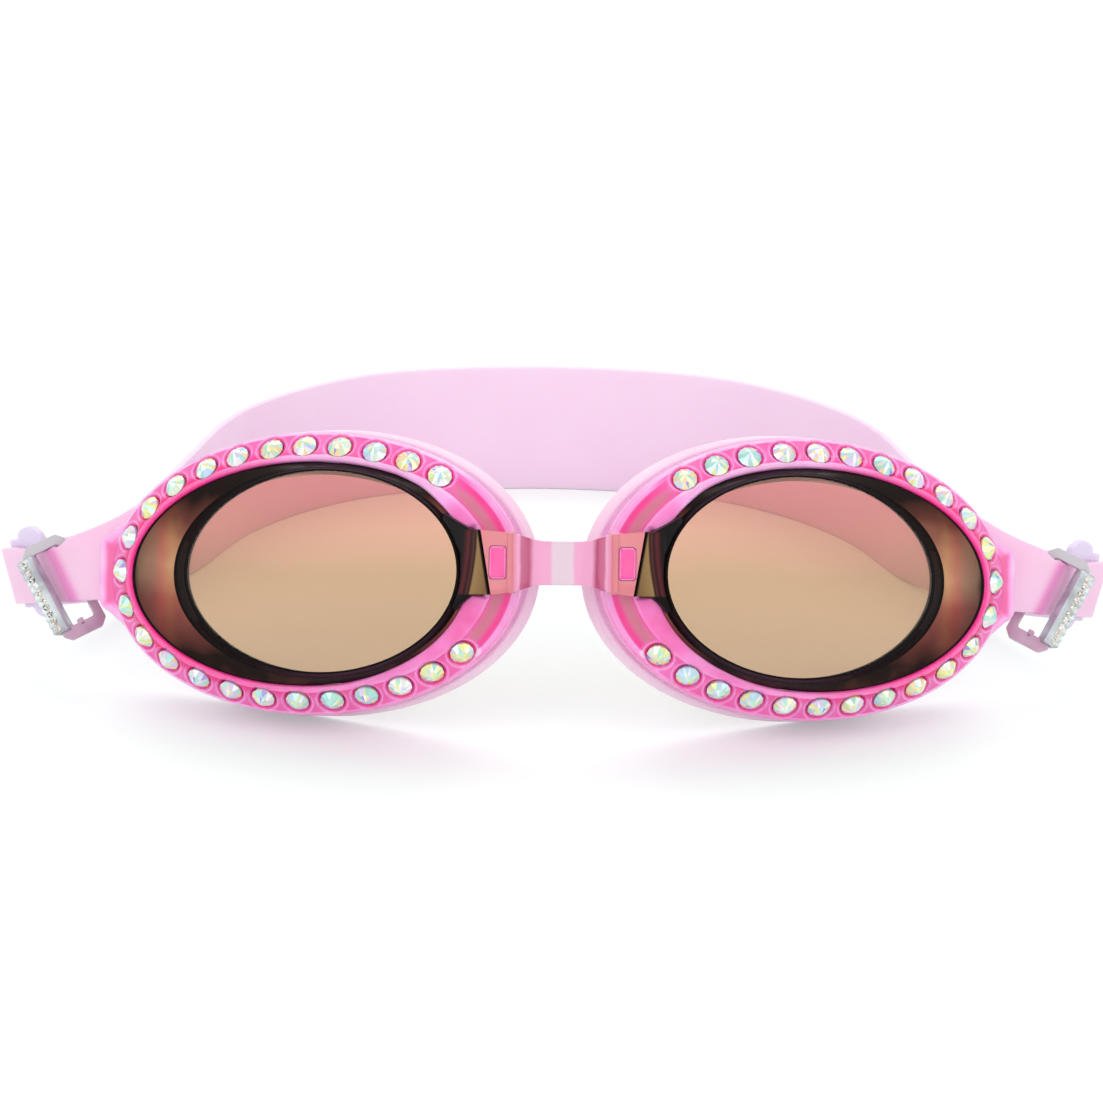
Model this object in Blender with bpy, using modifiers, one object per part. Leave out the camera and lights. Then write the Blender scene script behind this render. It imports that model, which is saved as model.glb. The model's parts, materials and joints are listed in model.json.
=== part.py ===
"""Children's swim goggles: two mirrored eye cups in stone-set bezels, soft gaskets with side arms,
a snap-in nose bridge, two ring buckles with pivoting bars, and a one-piece head strap.

Metres, +Z up. The goggles stand as they rest on a table: the cups lean back on the lower edges of
their gaskets and the strap rests on its lower edge behind them. The lenses face -Y, and left and right
are as seen from in front, so right is +X.

Each eye cup is worked out in its own frame: u runs to the temple, v up and w out of the lens.
"""

from math import atan2, cos, hypot, pi, radians, sin, tan

import bmesh
import bpy
from mathutils import Matrix, Vector

# Clearance kept between pieces that touch or seat in each other.
GAP = 0.0003

# Posture on the table.
PITCH = radians(19.0)            # the cups lean back by this
WRAP = radians(17.0)             # each cup turns outwards by this
CANT = radians(2.0)              # each oval droops towards its temple by this
EYE_SPACING = 0.0776             # centre of one opening to the other

# Lens: a flat oval face on a stepped wall, which slopes out to the opening at the temple.
OPENING_WIDTH = 0.0574
OPENING_HEIGHT = 0.0343
FACE_WIDTH = 0.0444
FACE_HEIGHT = 0.0314
FACE_TO_NOSE = 0.0031            # the face's centre lies this far towards the nose
FACE_UP = 0.0004
FACE_RISE = 0.0035               # the face stands this far in front of the bezel's lip
FACE_EDGE = 0.0003               # bevel round the face
STEP_HEIGHT = 0.0020             # the black step between face and sloped wall
STEP_FLARE = 0.0004
STEP_TO_TEMPLE = 0.0007          # the step's foot is wider on the temple side
LENS_WALL = 0.0016
LENS_ROUND = 0.0005

# Bezel: a ring with a chamfer that carries the stones.
BEZEL_DEPTH = 0.0065
LIP_WIDTH = 0.0009
LIP_RISE = 0.00035
CHAMFER_WIDTH = 0.0034
CHAMFER_SLOPE = radians(40.0)
RIM_ROUND = 0.0003
LUG_REACH = 0.0360               # the temple lug's end, from the opening's centre
LUG_HEIGHT = 0.0144
LUG_SPREAD = radians(40.0)       # the lug grows out of the rim between these angles
LUG_THICKNESS = 0.0026
LUG_ROUND = 0.0006

# Stones: pointed crystals in stepped seats.
STONES_PER_EYE = 24
STONE_FIRST = radians(134.0)     # next to the nose, above it
STONE_LAST = radians(-142.0)     # next to the nose, below it
STONE_RADIUS = 0.00175
STONE_GIRDLE = 0.0005
STONE_POINT = 0.0014
STONE_FACETS = 12
SCALLOP_RADIUS = 0.0024
SCALLOP_DEPTH = 0.00025          # it leaves a low ridge between one stone and the next
SEAT_DEPTH = 0.0010

# Nose bridge and the catch that holds it: bezel post, lens tongue and bridge window in one stack.
BRIDGE_UP = 0.0022               # its centre lies above the cups' centres
BRIDGE_PLATE_HEIGHT = 0.0098
BRIDGE_NECK_HEIGHT = 0.0066
BRIDGE_THICKNESS = 0.0013
BRIDGE_NECK_THICKNESS = 0.0016
BRIDGE_RIB = 0.0005
BRIDGE_NARROW_SHARE = 0.6        # share of the neck in which it narrows to its own height
BRIDGE_ROUND = 0.00025
PLATE_START = 0.0294             # where the bridge meets the lens lug, from the opening's centre
PLATE_LENGTH = 0.0048
PLATE_SLANT = tan(radians(10.0))
TONGUE_BOTTOM = 0.0007           # the tongue's underside, in front of the opening
TONGUE_THICKNESS = 0.0008
LENS_LUG_THICKNESS = 0.0021
LENS_LUG_FLARE = 0.0022
LENS_LUG_ROOT = 0.0010           # the lug starts this far inside the step's foot
TONGUE_REACH = 0.0336
POST_FROM_CENTRE = 0.0313
POST_WIDTH = 0.0022
POST_HEIGHT = 0.0045
POST_SHOWS = 0.0002              # how far the post stands out of the bridge

# Gasket: the soft seal behind the bezel, with the side arm that the buckle grips.
GASKET_DEPTH = 0.0070
GASKET_TEMPLE_DEPTH = 0.0022     # deeper at the temple by this, shallower at the nose
GASKET_WALL = 0.0018
GASKET_INNER = 0.0008
GASKET_WAIST = 0.0007
FLANGE_OUT = 0.0006
FLANGE_WIDTH = 0.0022
SEAT_SHARE = 0.12                # shares of its depth: the seat's end, the waist,
WAIST_SHARE = 0.42
FLANGE_SHARE = 0.78              # the flange's start, the end of its flat edge,
FLANGE_EDGE_SHARE = 0.92
FLANGE_INNER_SHARE = 0.97        # and the inside's bends, from back to front
INNER_BACK_SHARE = 0.60
INNER_FRONT_SHARE = 0.25
ARM_UP = 0.0014
ARM_START = 0.0315
ARM_STRAIGHT = 0.0063
ARM_RADIUS = 0.060
ARM_BEND = radians(5.0)          # it first bends gently back by this
ARM_FOLD_RADIUS = 0.0030
ARM_FOLD = radians(30.0)         # and then folds back by this between the ring's bars
ARM_FOLD_SKEW = radians(21.0)    # the fold leans by this, as the ring does
ARM_LENGTH = 0.0265
ARM_WIDTH = 0.0106
ARM_ROOT_WIDTH = 0.0190
ARM_FLARE_LENGTH = 0.0085
ARM_END_WIDTH = 0.0092           # it narrows a little from the flare to its end
ARM_DIP = 0.0015                 # its upper edge dips by this at the ring
ARM_DIP_LENGTH = 0.0040
ARM_THICKNESS = 0.0012
ARM_DROOP = tan(radians(7.7))
ARM_END_SLANT = tan(radians(3.4))

# Buckle: a flat ring, threaded by the arm, with a bar that pivots on its outer side.
RING_BEHIND = 0.0001             # more room between the inner bar and the arm
RING_LENGTH = 0.0165
RING_WIDTH = 0.0074
RING_BAR = 0.0014
RING_ROUND = 0.0012
RING_BEFORE_FOLD = 0.0006        # the inner bar lies behind the arm, before its fold by this
RING_TILT = radians(17.5)        # the ring's top leans outwards along the arm
RING_TWIST = radians(38.0)       # and its outer side stands out of the arm
RING_YAW = radians(6.0)          # turned in its own plane by this
RING_HANG = 0.0018               # and the ring hangs below the arm's middle by this
LEVER_WALL = 0.00055
LEVER_FACE = 0.0031
LEVER_SLOT = 0.0012
LEVER_THUMB = 0.0006             # the face's outer edge stands out by this, to be pushed
LEVER_EDGE = 0.00045             # thickness of the face's edges

# Head strap.
STRAP_THICKNESS = 0.0012
STRAP_SIDE_WIDTH = 0.0113
STRAP_BACK_WIDTH = 0.0233
STRAP_BACK = 0.1205              # how far the strap reaches behind the cups' centres
STRAP_LOOP_WIDTH = 0.1320        # width of the oval that the back of the strap follows
STRAP_LOOP_START = 0.0260        # that oval's middle, behind the cups' centres
STRAP_LOOP_POWER = 2.5           # 2 would be an ellipse, and more is squarer
STRAP_NARROW_SHARE = 0.07        # shares of its length where the strap starts to widen
STRAP_WIDE_SHARE = 0.48          # and has its full width
STRAP_DOWN_SHARE = 0.58          # and where its lower edge has come down to the table
STRAP_DOWN_POWER = 1.4           # 1 would be a straight way down, and more is a bow
PADDLE_HEIGHT = 0.0150
PADDLE_START = 0.0170            # it begins behind the arm here, past the fold
PADDLE_LENGTH = 0.0070
TURN_AHEAD = 0.0008              # the strap goes on by this past the paddle
TURN_BACK = 0.0032               # and then turns back
HOOK_WIDTH = 0.0079              # width of the strap's lip, which hooks the ring's inner bar
LIP_BEHIND_ARM = 0.0010
HOOK_ROUND = 0.0007
STRAP_UPRIGHT_SHARE = 0.25       # share of its length in which the strap turns upright
LOOP_JOIN = radians(24.0)        # where the strap joins the oval behind it
LOOP_POINTS = 4
LOOP_TURN = radians(16.0)        # the angle from one point on that oval to the next

# Facets.
OVAL_STEPS = 60
GASKET_STEPS = 48
MEASURING_STEPS = 720            # fine steps that measure the length along the rim
SEAT_STEPS = 10
LUG_STEPS = 8
BORE_STEPS = 12
ROUND_STEPS = 4
ARM_STEPS = 8
ARM_FOLD_STEPS = 5
ARM_END_STEPS = 3
PADDLE_STEPS = 8
STRAP_STEPS = 30
BRIDGE_STEPS = 6

EMPTY_SIZE = 0.01                # drawn size of the empties
COLLECTION = "swim_goggles"
CUTTERS = "cutters"


# ---------------------------------------------------------------- scene and small helpers


def clear_scene():
    for obj in list(bpy.data.objects):
        bpy.data.objects.remove(obj)


def new_collection(name):
    collection = bpy.data.collections.new(name)
    bpy.context.scene.collection.children.link(collection)
    return collection


def new_material(name, colour, roughness, metallic=0.0, alpha=1.0):
    made = bpy.data.materials.new(name)
    made.use_nodes = True
    shader = made.node_tree.nodes["Principled BSDF"]
    shader.inputs["Base Color"].default_value = (*colour, 1.0)
    shader.inputs["Roughness"].default_value = roughness
    shader.inputs["Metallic"].default_value = metallic
    shader.inputs["Alpha"].default_value = alpha
    made.diffuse_color = (*colour, 1.0)
    return made


def add_empty(name, parent=None, matrix=None):
    empty = bpy.data.objects.new(name, None)
    empty.empty_display_size = EMPTY_SIZE
    bpy.data.collections[COLLECTION].objects.link(empty)
    empty.parent = parent
    empty.matrix_local = matrix or Matrix()
    return empty


def add_part(name, mesh, material, parent, matrix=None):
    part = bpy.data.objects.new(name, mesh)
    part.data.materials.clear()
    part.data.materials.append(material)
    bpy.data.collections[COLLECTION].objects.link(part)
    part.parent = parent
    part.matrix_local = matrix or Matrix()
    return part


def add_cutter(name, mesh, parent, matrix=None):
    """A hidden solid that a Boolean adds to a part or takes away from it."""
    cutter = bpy.data.objects.new(name, mesh)
    bpy.data.collections[CUTTERS].objects.link(cutter)
    cutter.parent = parent
    cutter.matrix_local = matrix or Matrix()
    cutter.display_type = "WIRE"
    cutter.hide_render = True
    return cutter


def boolean(part, other, operation):
    modifier = part.modifiers.new(f"{operation.lower()} {other.name}", "BOOLEAN")
    modifier.operation = operation
    modifier.object = other


def bevel(part, width, angle=radians(40.0), segments=1):
    modifier = part.modifiers.new("rounded edges", "BEVEL")
    modifier.width = width
    modifier.segments = segments
    modifier.limit_method = "ANGLE"
    modifier.angle_limit = angle


def finish_mesh(builder, name, sharp=radians(35.0)):
    """Turns a bmesh into a mesh with its faces pointing out, shaded smooth but for its sharp edges."""
    bmesh.ops.recalc_face_normals(builder, faces=builder.faces)
    mesh = bpy.data.meshes.new(name)
    builder.to_mesh(mesh)
    builder.free()
    mesh.shade_smooth()
    mesh.set_sharp_from_angle(angle=sharp)
    return mesh


def join_rings(builder, near, far):
    for index, corner in enumerate(near):
        following = (index + 1) % len(near)
        builder.faces.new((corner, near[following], far[following], far[index]))


def loft(name, rings, hoop=False):
    """A solid through closed rings of points: capped at both ends, or joined end to end as a hoop."""
    builder = bmesh.new()
    loops = [[builder.verts.new(point) for point in ring] for ring in rings]
    for near, far in zip(loops, loops[1:]):
        join_rings(builder, near, far)
    if hoop:
        join_rings(builder, loops[-1], loops[0])
    else:
        builder.faces.new(loops[0])
        builder.faces.new(loops[-1])
    return finish_mesh(builder, name)


def flat_plate(name, outlines, thickness):
    """A plate from flat outlines, the later ones holes, centred on its own plane."""
    curve = bpy.data.curves.new(name, "CURVE")
    curve.dimensions = "2D"
    curve.fill_mode = "BOTH"
    curve.extrude = thickness / 2
    for outline in outlines:
        spline = curve.splines.new("POLY")
        spline.points.add(len(outline) - 1)
        spline.use_cyclic_u = True
        for point, (x, y) in zip(spline.points, outline):
            point.co = (x, y, 0.0, 1.0)
    shape = bpy.data.objects.new(name, curve)
    bpy.context.scene.collection.objects.link(shape)
    evaluated = shape.evaluated_get(bpy.context.evaluated_depsgraph_get())
    mesh = bpy.data.meshes.new_from_object(evaluated)
    bpy.data.objects.remove(shape)
    builder = bmesh.new()
    builder.from_mesh(mesh)
    bmesh.ops.remove_doubles(builder, verts=builder.verts, dist=1e-6)
    return finish_mesh(builder, name)


def rounded_rectangle(width, height, radius):
    """Corner arcs of a rectangle centred on the origin, anticlockwise."""
    outline = []
    for corner in range(4):
        middle = pi / 4 + corner * pi / 2
        centre_x = (width / 2 - radius) * (1 if cos(middle) > 0 else -1)
        centre_y = (height / 2 - radius) * (1 if sin(middle) > 0 else -1)
        for step in range(ROUND_STEPS + 1):
            angle = corner * pi / 2 + step * pi / 2 / ROUND_STEPS
            outline.append((centre_x + radius * cos(angle), centre_y + radius * sin(angle)))
    return outline


def smooth(share):
    """Eases from 0 to 1 as share goes from 0 to 1."""
    share = min(max(share, 0.0), 1.0)
    return share * share * (3.0 - 2.0 * share)


# ---------------------------------------------------------------- the eye cup's frame and ovals


def eye_point(side, u, v, w):
    """A point of an eye cup in its empty's axes. side is 1 at +X and -1 at -X."""
    return Vector((side * u, -w, v))


def goggles_matrix():
    return Matrix.Rotation(-PITCH, 4, "X")


def eye_matrix(side):
    turn = Matrix.Rotation(side * WRAP, 4, "Z")
    return Matrix.Translation((side * EYE_SPACING / 2, 0.0, 0.0)) @ turn


class Oval:
    """An oval of the eye cup, canted, with its centre moved by (u, v)."""

    def __init__(self, width, height, u=0.0, v=0.0):
        self.half_width = width / 2
        self.half_height = height / 2
        self.centre = (u, v)

    def point(self, angle, grow=0.0):
        """(u, v) at angle from the temple, pushed out along the oval's normal by grow."""
        u = self.half_width * cos(angle)
        v = self.half_height * sin(angle)
        across = self.half_height * cos(angle)
        up = self.half_width * sin(angle)
        length = hypot(across, up)
        u += grow * across / length
        v += grow * up / length
        return (
            self.centre[0] + u * cos(CANT) + v * sin(CANT),
            self.centre[1] - u * sin(CANT) + v * cos(CANT),
        )

    def normal(self, angle):
        """The outward direction (u, v) at angle."""
        across = self.half_height * cos(angle)
        up = self.half_width * sin(angle)
        turned = atan2(up, across) - CANT
        return cos(turned), sin(turned)

    def ring(self, side, grow, depth, steps=OVAL_STEPS):
        points = []
        for step in range(steps):
            u, v = self.point(2 * pi * step / steps, grow)
            points.append(eye_point(side, u, v, depth))
        return points


OPENING = Oval(OPENING_WIDTH, OPENING_HEIGHT)
FACE = Oval(FACE_WIDTH, FACE_HEIGHT, -FACE_TO_NOSE, FACE_UP)
STEP_FOOT = Oval(
    FACE_WIDTH + 2 * (STEP_TO_TEMPLE + STEP_FLARE),
    FACE_HEIGHT + 2 * STEP_FLARE,
    -FACE_TO_NOSE + STEP_TO_TEMPLE,
    FACE_UP / 2,
)


def box_in_eye(name, side, u_range, v_range, w_range):
    """A block between two values of each of the eye cup's coordinates."""
    rings = []
    for w in w_range:
        corners = [(u_range[0], v_range[0]), (u_range[1], v_range[0])]
        corners += [(u_range[1], v_range[1]), (u_range[0], v_range[1])]
        rings.append([eye_point(side, u, v, w) for u, v in corners])
    return loft(name, rings)


def slab_in_eye(name, side, outline, w_range):
    """A slab with a (u, v) outline between two depths."""
    rings = [[eye_point(side, u, v, w) for u, v in outline] for w in w_range]
    return loft(name, rings)


# ---------------------------------------------------------------- lens


def lens_rings(side):
    """Rings of the lens, from its face over the outside to the back edge and up the inside."""
    foot_depth = FACE_RISE - STEP_HEIGHT
    inner_back = -GAP - LENS_WALL
    return [
        FACE.ring(side, -FACE_EDGE, FACE_RISE),
        FACE.ring(side, 0.0, FACE_RISE - FACE_EDGE),
        STEP_FOOT.ring(side, 0.0, foot_depth),
        OPENING.ring(side, -GAP - LENS_ROUND, LENS_ROUND / 2),
        OPENING.ring(side, -GAP, -LENS_ROUND / 2),
        OPENING.ring(side, -GAP, -BEZEL_DEPTH),
        OPENING.ring(side, inner_back, -BEZEL_DEPTH),
        OPENING.ring(side, inner_back, -LENS_WALL / 2),
        STEP_FOOT.ring(side, -LENS_WALL, foot_depth - LENS_WALL / 2),
        FACE.ring(side, -LENS_WALL, FACE_RISE - LENS_WALL),
    ]


def lens_lug_outline():
    """The lug on the nose side of the lens, up to the slanted edge where the bridge begins."""
    half = BRIDGE_PLATE_HEIGHT / 2
    root = FACE_TO_NOSE + FACE_WIDTH / 2 + STEP_FLARE - LENS_LUG_ROOT
    end = PLATE_START - GAP
    return [
        (-root, BRIDGE_UP - half - LENS_LUG_FLARE),
        (-root, BRIDGE_UP + half + LENS_LUG_FLARE),
        (-(root + end) / 2, BRIDGE_UP + half + LENS_LUG_FLARE / 3),
        (-end + half * PLATE_SLANT, BRIDGE_UP + half),
        (-end - half * PLATE_SLANT, BRIDGE_UP - half),
        (-(root + end) / 2, BRIDGE_UP - half - LENS_LUG_FLARE / 3),
    ]


def tongue_top():
    return TONGUE_BOTTOM + TONGUE_THICKNESS


def make_lens(side, label, parent, material):
    """The mirrored cup front, with the lug and slotted tongue that carry the nose bridge."""
    lens = add_part(f"lens_{label}", loft("lens", lens_rings(side)), material, parent)
    lug = slab_in_eye(
        "lens lug", side, lens_lug_outline(), (TONGUE_BOTTOM, TONGUE_BOTTOM + LENS_LUG_THICKNESS)
    )
    lug_solid = add_cutter(f"lens_lug_{label}", lug, parent)
    bevel(lug_solid, BRIDGE_ROUND)
    boolean(lens, lug_solid, "UNION")
    half = BRIDGE_PLATE_HEIGHT / 2 - GAP
    tongue = box_in_eye(
        "tongue",
        side,
        (-TONGUE_REACH, -PLATE_START + half * PLATE_SLANT),
        (BRIDGE_UP - half, BRIDGE_UP + half),
        (TONGUE_BOTTOM, tongue_top()),
    )
    boolean(lens, add_cutter(f"tongue_{label}", tongue, parent), "UNION")
    boolean(lens, post_window(f"tongue_slot_{label}", side, parent), "DIFFERENCE")
    return lens


def post_window(name, side, parent):
    """The cutter of the window that the bezel's post passes through."""
    half_width = POST_WIDTH / 2 + GAP
    half_height = POST_HEIGHT / 2 + GAP
    window = box_in_eye(
        name,
        side,
        (-POST_FROM_CENTRE - half_width, -POST_FROM_CENTRE + half_width),
        (BRIDGE_UP - half_height, BRIDGE_UP + half_height),
        (0.0, FACE_RISE + BRIDGE_THICKNESS),
    )
    return add_cutter(name, window, parent)


# ---------------------------------------------------------------- bezel and stones


def chamfer_drop(across):
    return across * tan(CHAMFER_SLOPE)


def rim_width():
    return LIP_WIDTH + CHAMFER_WIDTH + RIM_ROUND


def bezel_rings(side):
    """Section of the bezel, from the lip over the chamfer to the back, swept round the opening."""
    top = LIP_RISE
    foot = top - chamfer_drop(CHAMFER_WIDTH)
    section = [
        (0.0, top - RIM_ROUND),
        (RIM_ROUND, top),
        (LIP_WIDTH, top),
        (LIP_WIDTH + CHAMFER_WIDTH, foot),
        (rim_width(), foot - 2 * RIM_ROUND),
        (rim_width(), -BEZEL_DEPTH + RIM_ROUND),
        (rim_width() - RIM_ROUND, -BEZEL_DEPTH),
        (0.0, -BEZEL_DEPTH),
    ]
    return [OPENING.ring(side, grow, depth) for grow, depth in section]


def lug_outline():
    """The temple lug: it follows the middle of the rim, then narrows to its end."""
    outline = []
    for step in range(LUG_STEPS + 1):
        angle = LUG_SPREAD * (1 - 2 * step / LUG_STEPS)
        outline.append(OPENING.point(angle, rim_width() / 2))
    outline.append(OPENING.point(-LUG_SPREAD, rim_width() - 2 * RIM_ROUND))
    outline.append((LUG_REACH, ARM_UP - LUG_HEIGHT / 2))
    outline.append((LUG_REACH, ARM_UP + LUG_HEIGHT / 2))
    outline.append(OPENING.point(LUG_SPREAD, rim_width() - 2 * RIM_ROUND))
    return outline


def stone_angles():
    """Angles of the stones, spaced evenly along the rim and clear of the nose."""
    turn = (STONE_LAST - STONE_FIRST) / MEASURING_STEPS
    angles = [STONE_FIRST + turn * step for step in range(MEASURING_STEPS + 1)]
    places = [Vector(OPENING.point(angle, stone_grow())) for angle in angles]
    lengths = [0.0]
    for here, there in zip(places, places[1:]):
        lengths.append(lengths[-1] + (there - here).length)
    chosen = []
    for index in range(STONES_PER_EYE):
        target = lengths[-1] * index / (STONES_PER_EYE - 1)
        nearest = min(range(len(lengths)), key=lambda place: abs(lengths[place] - target))
        chosen.append(angles[nearest])
    return chosen


def stone_grow():
    return LIP_WIDTH + CHAMFER_WIDTH / 2


def stone_matrix(side, angle):
    """Frame of a seat: its origin on the chamfer, and +Z out of the chamfer."""
    u, v = OPENING.point(angle, stone_grow())
    w = LIP_RISE - chamfer_drop(CHAMFER_WIDTH / 2)
    out_u, out_v = OPENING.normal(angle)
    tilt = CHAMFER_SLOPE
    direction = eye_point(side, out_u * sin(tilt), out_v * sin(tilt), cos(tilt))
    turn = direction.to_track_quat("Z", "Y").to_matrix().to_4x4()
    return Matrix.Translation(eye_point(side, u, v, w)) @ turn


def circle(radius, height, steps):
    return [
        Vector((radius * cos(2 * pi * step / steps), radius * sin(2 * pi * step / steps), height))
        for step in range(steps)
    ]


def seat_cutters(side):
    """All seats of one bezel in one mesh: each a shallow scallop with a pocket in its floor."""
    builder = bmesh.new()
    pocket = STONE_RADIUS + GAP
    rings = [
        (pocket, -SEAT_DEPTH),
        (pocket, -SCALLOP_DEPTH),
        (SCALLOP_RADIUS, -SCALLOP_DEPTH),
        (SCALLOP_RADIUS, SEAT_DEPTH),
    ]
    for angle in stone_angles():
        place = stone_matrix(side, angle)
        loops = []
        for radius, height in rings:
            points = circle(radius, height, SEAT_STEPS)
            loops.append([builder.verts.new(place @ point) for point in points])
        for near, far in zip(loops, loops[1:]):
            join_rings(builder, near, far)
        builder.faces.new(loops[0])
        builder.faces.new(loops[-1])
    return finish_mesh(builder, "seats")


def make_bezel(side, label, parent, material):
    """The stone-set ring, with its temple lug and the post that catches the nose bridge."""
    mesh = loft("bezel", bezel_rings(side), hoop=True)
    bezel = add_part(f"bezel_{label}", mesh, material, parent)
    back = -BEZEL_DEPTH
    lug = slab_in_eye("temple lug", side, lug_outline(), (back, back + LUG_THICKNESS))
    lug_solid = add_cutter(f"temple_lug_{label}", lug, parent)
    bevel(lug_solid, LUG_ROUND, segments=2)
    boolean(bezel, lug_solid, "UNION")
    post_end = bridge_front() + POST_SHOWS
    post = box_in_eye(
        "post",
        side,
        (-POST_FROM_CENTRE - POST_WIDTH / 2, -POST_FROM_CENTRE + POST_WIDTH / 2),
        (BRIDGE_UP - POST_HEIGHT / 2, BRIDGE_UP + POST_HEIGHT / 2),
        (-BEZEL_DEPTH / 2, post_end),
    )
    boolean(bezel, add_cutter(f"post_{label}", post, parent), "UNION")
    boolean(bezel, add_cutter(f"seats_{label}", seat_cutters(side), parent), "DIFFERENCE")
    return bezel


def stone_mesh():
    """A pointed crystal: flat back, short girdle and a ring of facets that meet at the point."""
    builder = bmesh.new()
    base = [builder.verts.new(point) for point in circle(STONE_RADIUS, 0.0, STONE_FACETS)]
    girdle = [builder.verts.new(p) for p in circle(STONE_RADIUS, STONE_GIRDLE, STONE_FACETS)]
    join_rings(builder, base, girdle)
    builder.faces.new(base)
    tip = builder.verts.new((0.0, 0.0, STONE_GIRDLE + STONE_POINT))
    for index, corner in enumerate(girdle):
        builder.faces.new((corner, girdle[(index + 1) % STONE_FACETS], tip))
    return finish_mesh(builder, "stone", sharp=radians(5.0))


def make_stones(side, label, parent, material):
    mesh = stone_mesh()
    drop = Matrix.Translation((0.0, 0.0, GAP - SEAT_DEPTH))
    for number, angle in enumerate(stone_angles(), start=1):
        place = stone_matrix(side, angle) @ drop
        add_part(f"stone_{label}_{number:02d}", mesh, material, parent, place)


# ---------------------------------------------------------------- gasket with its side arm


def gasket_back(angle):
    """How far behind the opening the gasket's sealing edge lies: deeper at the temple."""
    return BEZEL_DEPTH + GAP + GASKET_DEPTH + GASKET_TEMPLE_DEPTH * cos(angle)


def gasket_rings(side):
    """Section of the seal: a seat behind the bezel, a waist, and a rounded flange."""
    front = BEZEL_DEPTH + GAP
    outer = rim_width()
    flange = outer + FLANGE_OUT
    section = [
        (outer, 0.0),
        (outer + RIM_ROUND, SEAT_SHARE),
        (outer - GASKET_WAIST, WAIST_SHARE),
        (flange, FLANGE_SHARE),
        (flange, FLANGE_EDGE_SHARE),
        (flange - FLANGE_WIDTH / 3, 1.0),
        (flange - FLANGE_WIDTH, FLANGE_INNER_SHARE),
        (outer - GASKET_WAIST - GASKET_WALL, INNER_BACK_SHARE),
        (GASKET_INNER + GASKET_WALL / 2, INNER_FRONT_SHARE),
        (GASKET_INNER, 0.0),
    ]
    rings = []
    for grow, share in section:
        ring = []
        for step in range(GASKET_STEPS):
            angle = 2 * pi * step / GASKET_STEPS
            u, v = OPENING.point(angle, grow)
            depth = front + share * (gasket_back(angle) - front)
            ring.append(eye_point(side, u, v, -depth))
        rings.append(ring)
    return rings


def arm_middle_depth():
    return BEZEL_DEPTH + GAP + ARM_THICKNESS / 2 + GAP / 3


def arm_frame(along):
    """(centre, heading, outward normal) of the side arm in (u, v, w), at a length along it."""
    bend = min(max(along - ARM_STRAIGHT, 0.0) / ARM_RADIUS, ARM_BEND)
    straight = min(along, ARM_STRAIGHT)
    centre = Vector((
        ARM_START + straight + ARM_RADIUS * sin(bend),
        ARM_UP - ARM_DROOP * min(along, fold_start()),
        -arm_middle_depth() - ARM_RADIUS * (1 - cos(bend)),
    ))
    heading = Vector((cos(bend), -ARM_DROOP, -sin(bend))).normalized()
    outward = Vector((sin(bend), 0.0, cos(bend)))
    past = along - fold_start()
    if past <= 0.0:
        return centre, heading, outward
    axis = upward_of(heading, outward) * cos(ARM_FOLD_SKEW) + heading * sin(ARM_FOLD_SKEW)
    turned = min(past / ARM_FOLD_RADIUS, ARM_FOLD)
    turn = Matrix.Rotation(turned, 3, axis)
    along_axis = axis * heading.dot(axis)
    ahead = heading - along_axis
    centre += along_axis * past
    centre += ahead * ARM_FOLD_RADIUS * sin(turned)
    centre += axis.cross(ahead) * ARM_FOLD_RADIUS * (1 - cos(turned))
    centre += (turn @ ahead) * max(past - ARM_FOLD_RADIUS * ARM_FOLD, 0.0)
    return centre, turn @ heading, turn @ outward


def fold_start():
    return ARM_STRAIGHT + ARM_RADIUS * ARM_BEND


def upward_of(heading, outward):
    """The strip's own upward direction, square to where it heads and to its outer face."""
    upward = outward.cross(heading)
    if upward.y < 0:
        upward.negate()
    return upward.normalized()


def arm_half_width(along):
    flare = smooth(along / ARM_FLARE_LENGTH)
    taper = max(along - ARM_FLARE_LENGTH, 0.0) / (ARM_LENGTH - ARM_FLARE_LENGTH)
    width = ARM_ROOT_WIDTH + (ARM_WIDTH - ARM_ROOT_WIDTH) * flare
    return (width - (ARM_WIDTH - ARM_END_WIDTH) * taper) / 2


def strip_ring(centre, across, outward, half_width, half_thick):
    """Four corners of a flat strip's section."""
    corners = []
    for side_sign, face_sign in ((1, 1), (-1, 1), (-1, -1), (1, -1)):
        corners.append(centre + across * half_width * side_sign + outward * half_thick * face_sign)
    return corners


def fold_end():
    return fold_start() + ARM_FOLD_RADIUS * ARM_FOLD


def arm_dip(along):
    """How far the arm's upper edge dips, to pass under the top of the ring."""
    down = smooth((along - fold_start() + ARM_DIP_LENGTH) / ARM_DIP_LENGTH)
    back_up = smooth((along - fold_end()) / (ARM_LENGTH - fold_end()))
    return ARM_DIP * (down - back_up)


def arm_lengths():
    """Lengths along the arm of its sections, close together round the fold."""
    lengths = [0.0]
    for start, end, steps in (
        (0.0, fold_start(), ARM_STEPS),
        (fold_start(), fold_end(), ARM_FOLD_STEPS),
        (fold_end(), ARM_LENGTH, ARM_END_STEPS),
    ):
        for step in range(1, steps + 1):
            lengths.append(start + (end - start) * step / steps)
    return lengths


def arm_skew(along):
    """Tangent of the angle by which a section lies aslant: none at the root, the fold's own there,
    and the end's slant at the end."""
    fold = tan(ARM_FOLD_SKEW)
    if along <= fold_start():
        return fold * smooth(along / fold_start())
    share = (along - fold_end()) / (ARM_LENGTH - fold_end())
    return fold + (ARM_END_SLANT - fold) * smooth(share)


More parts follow.
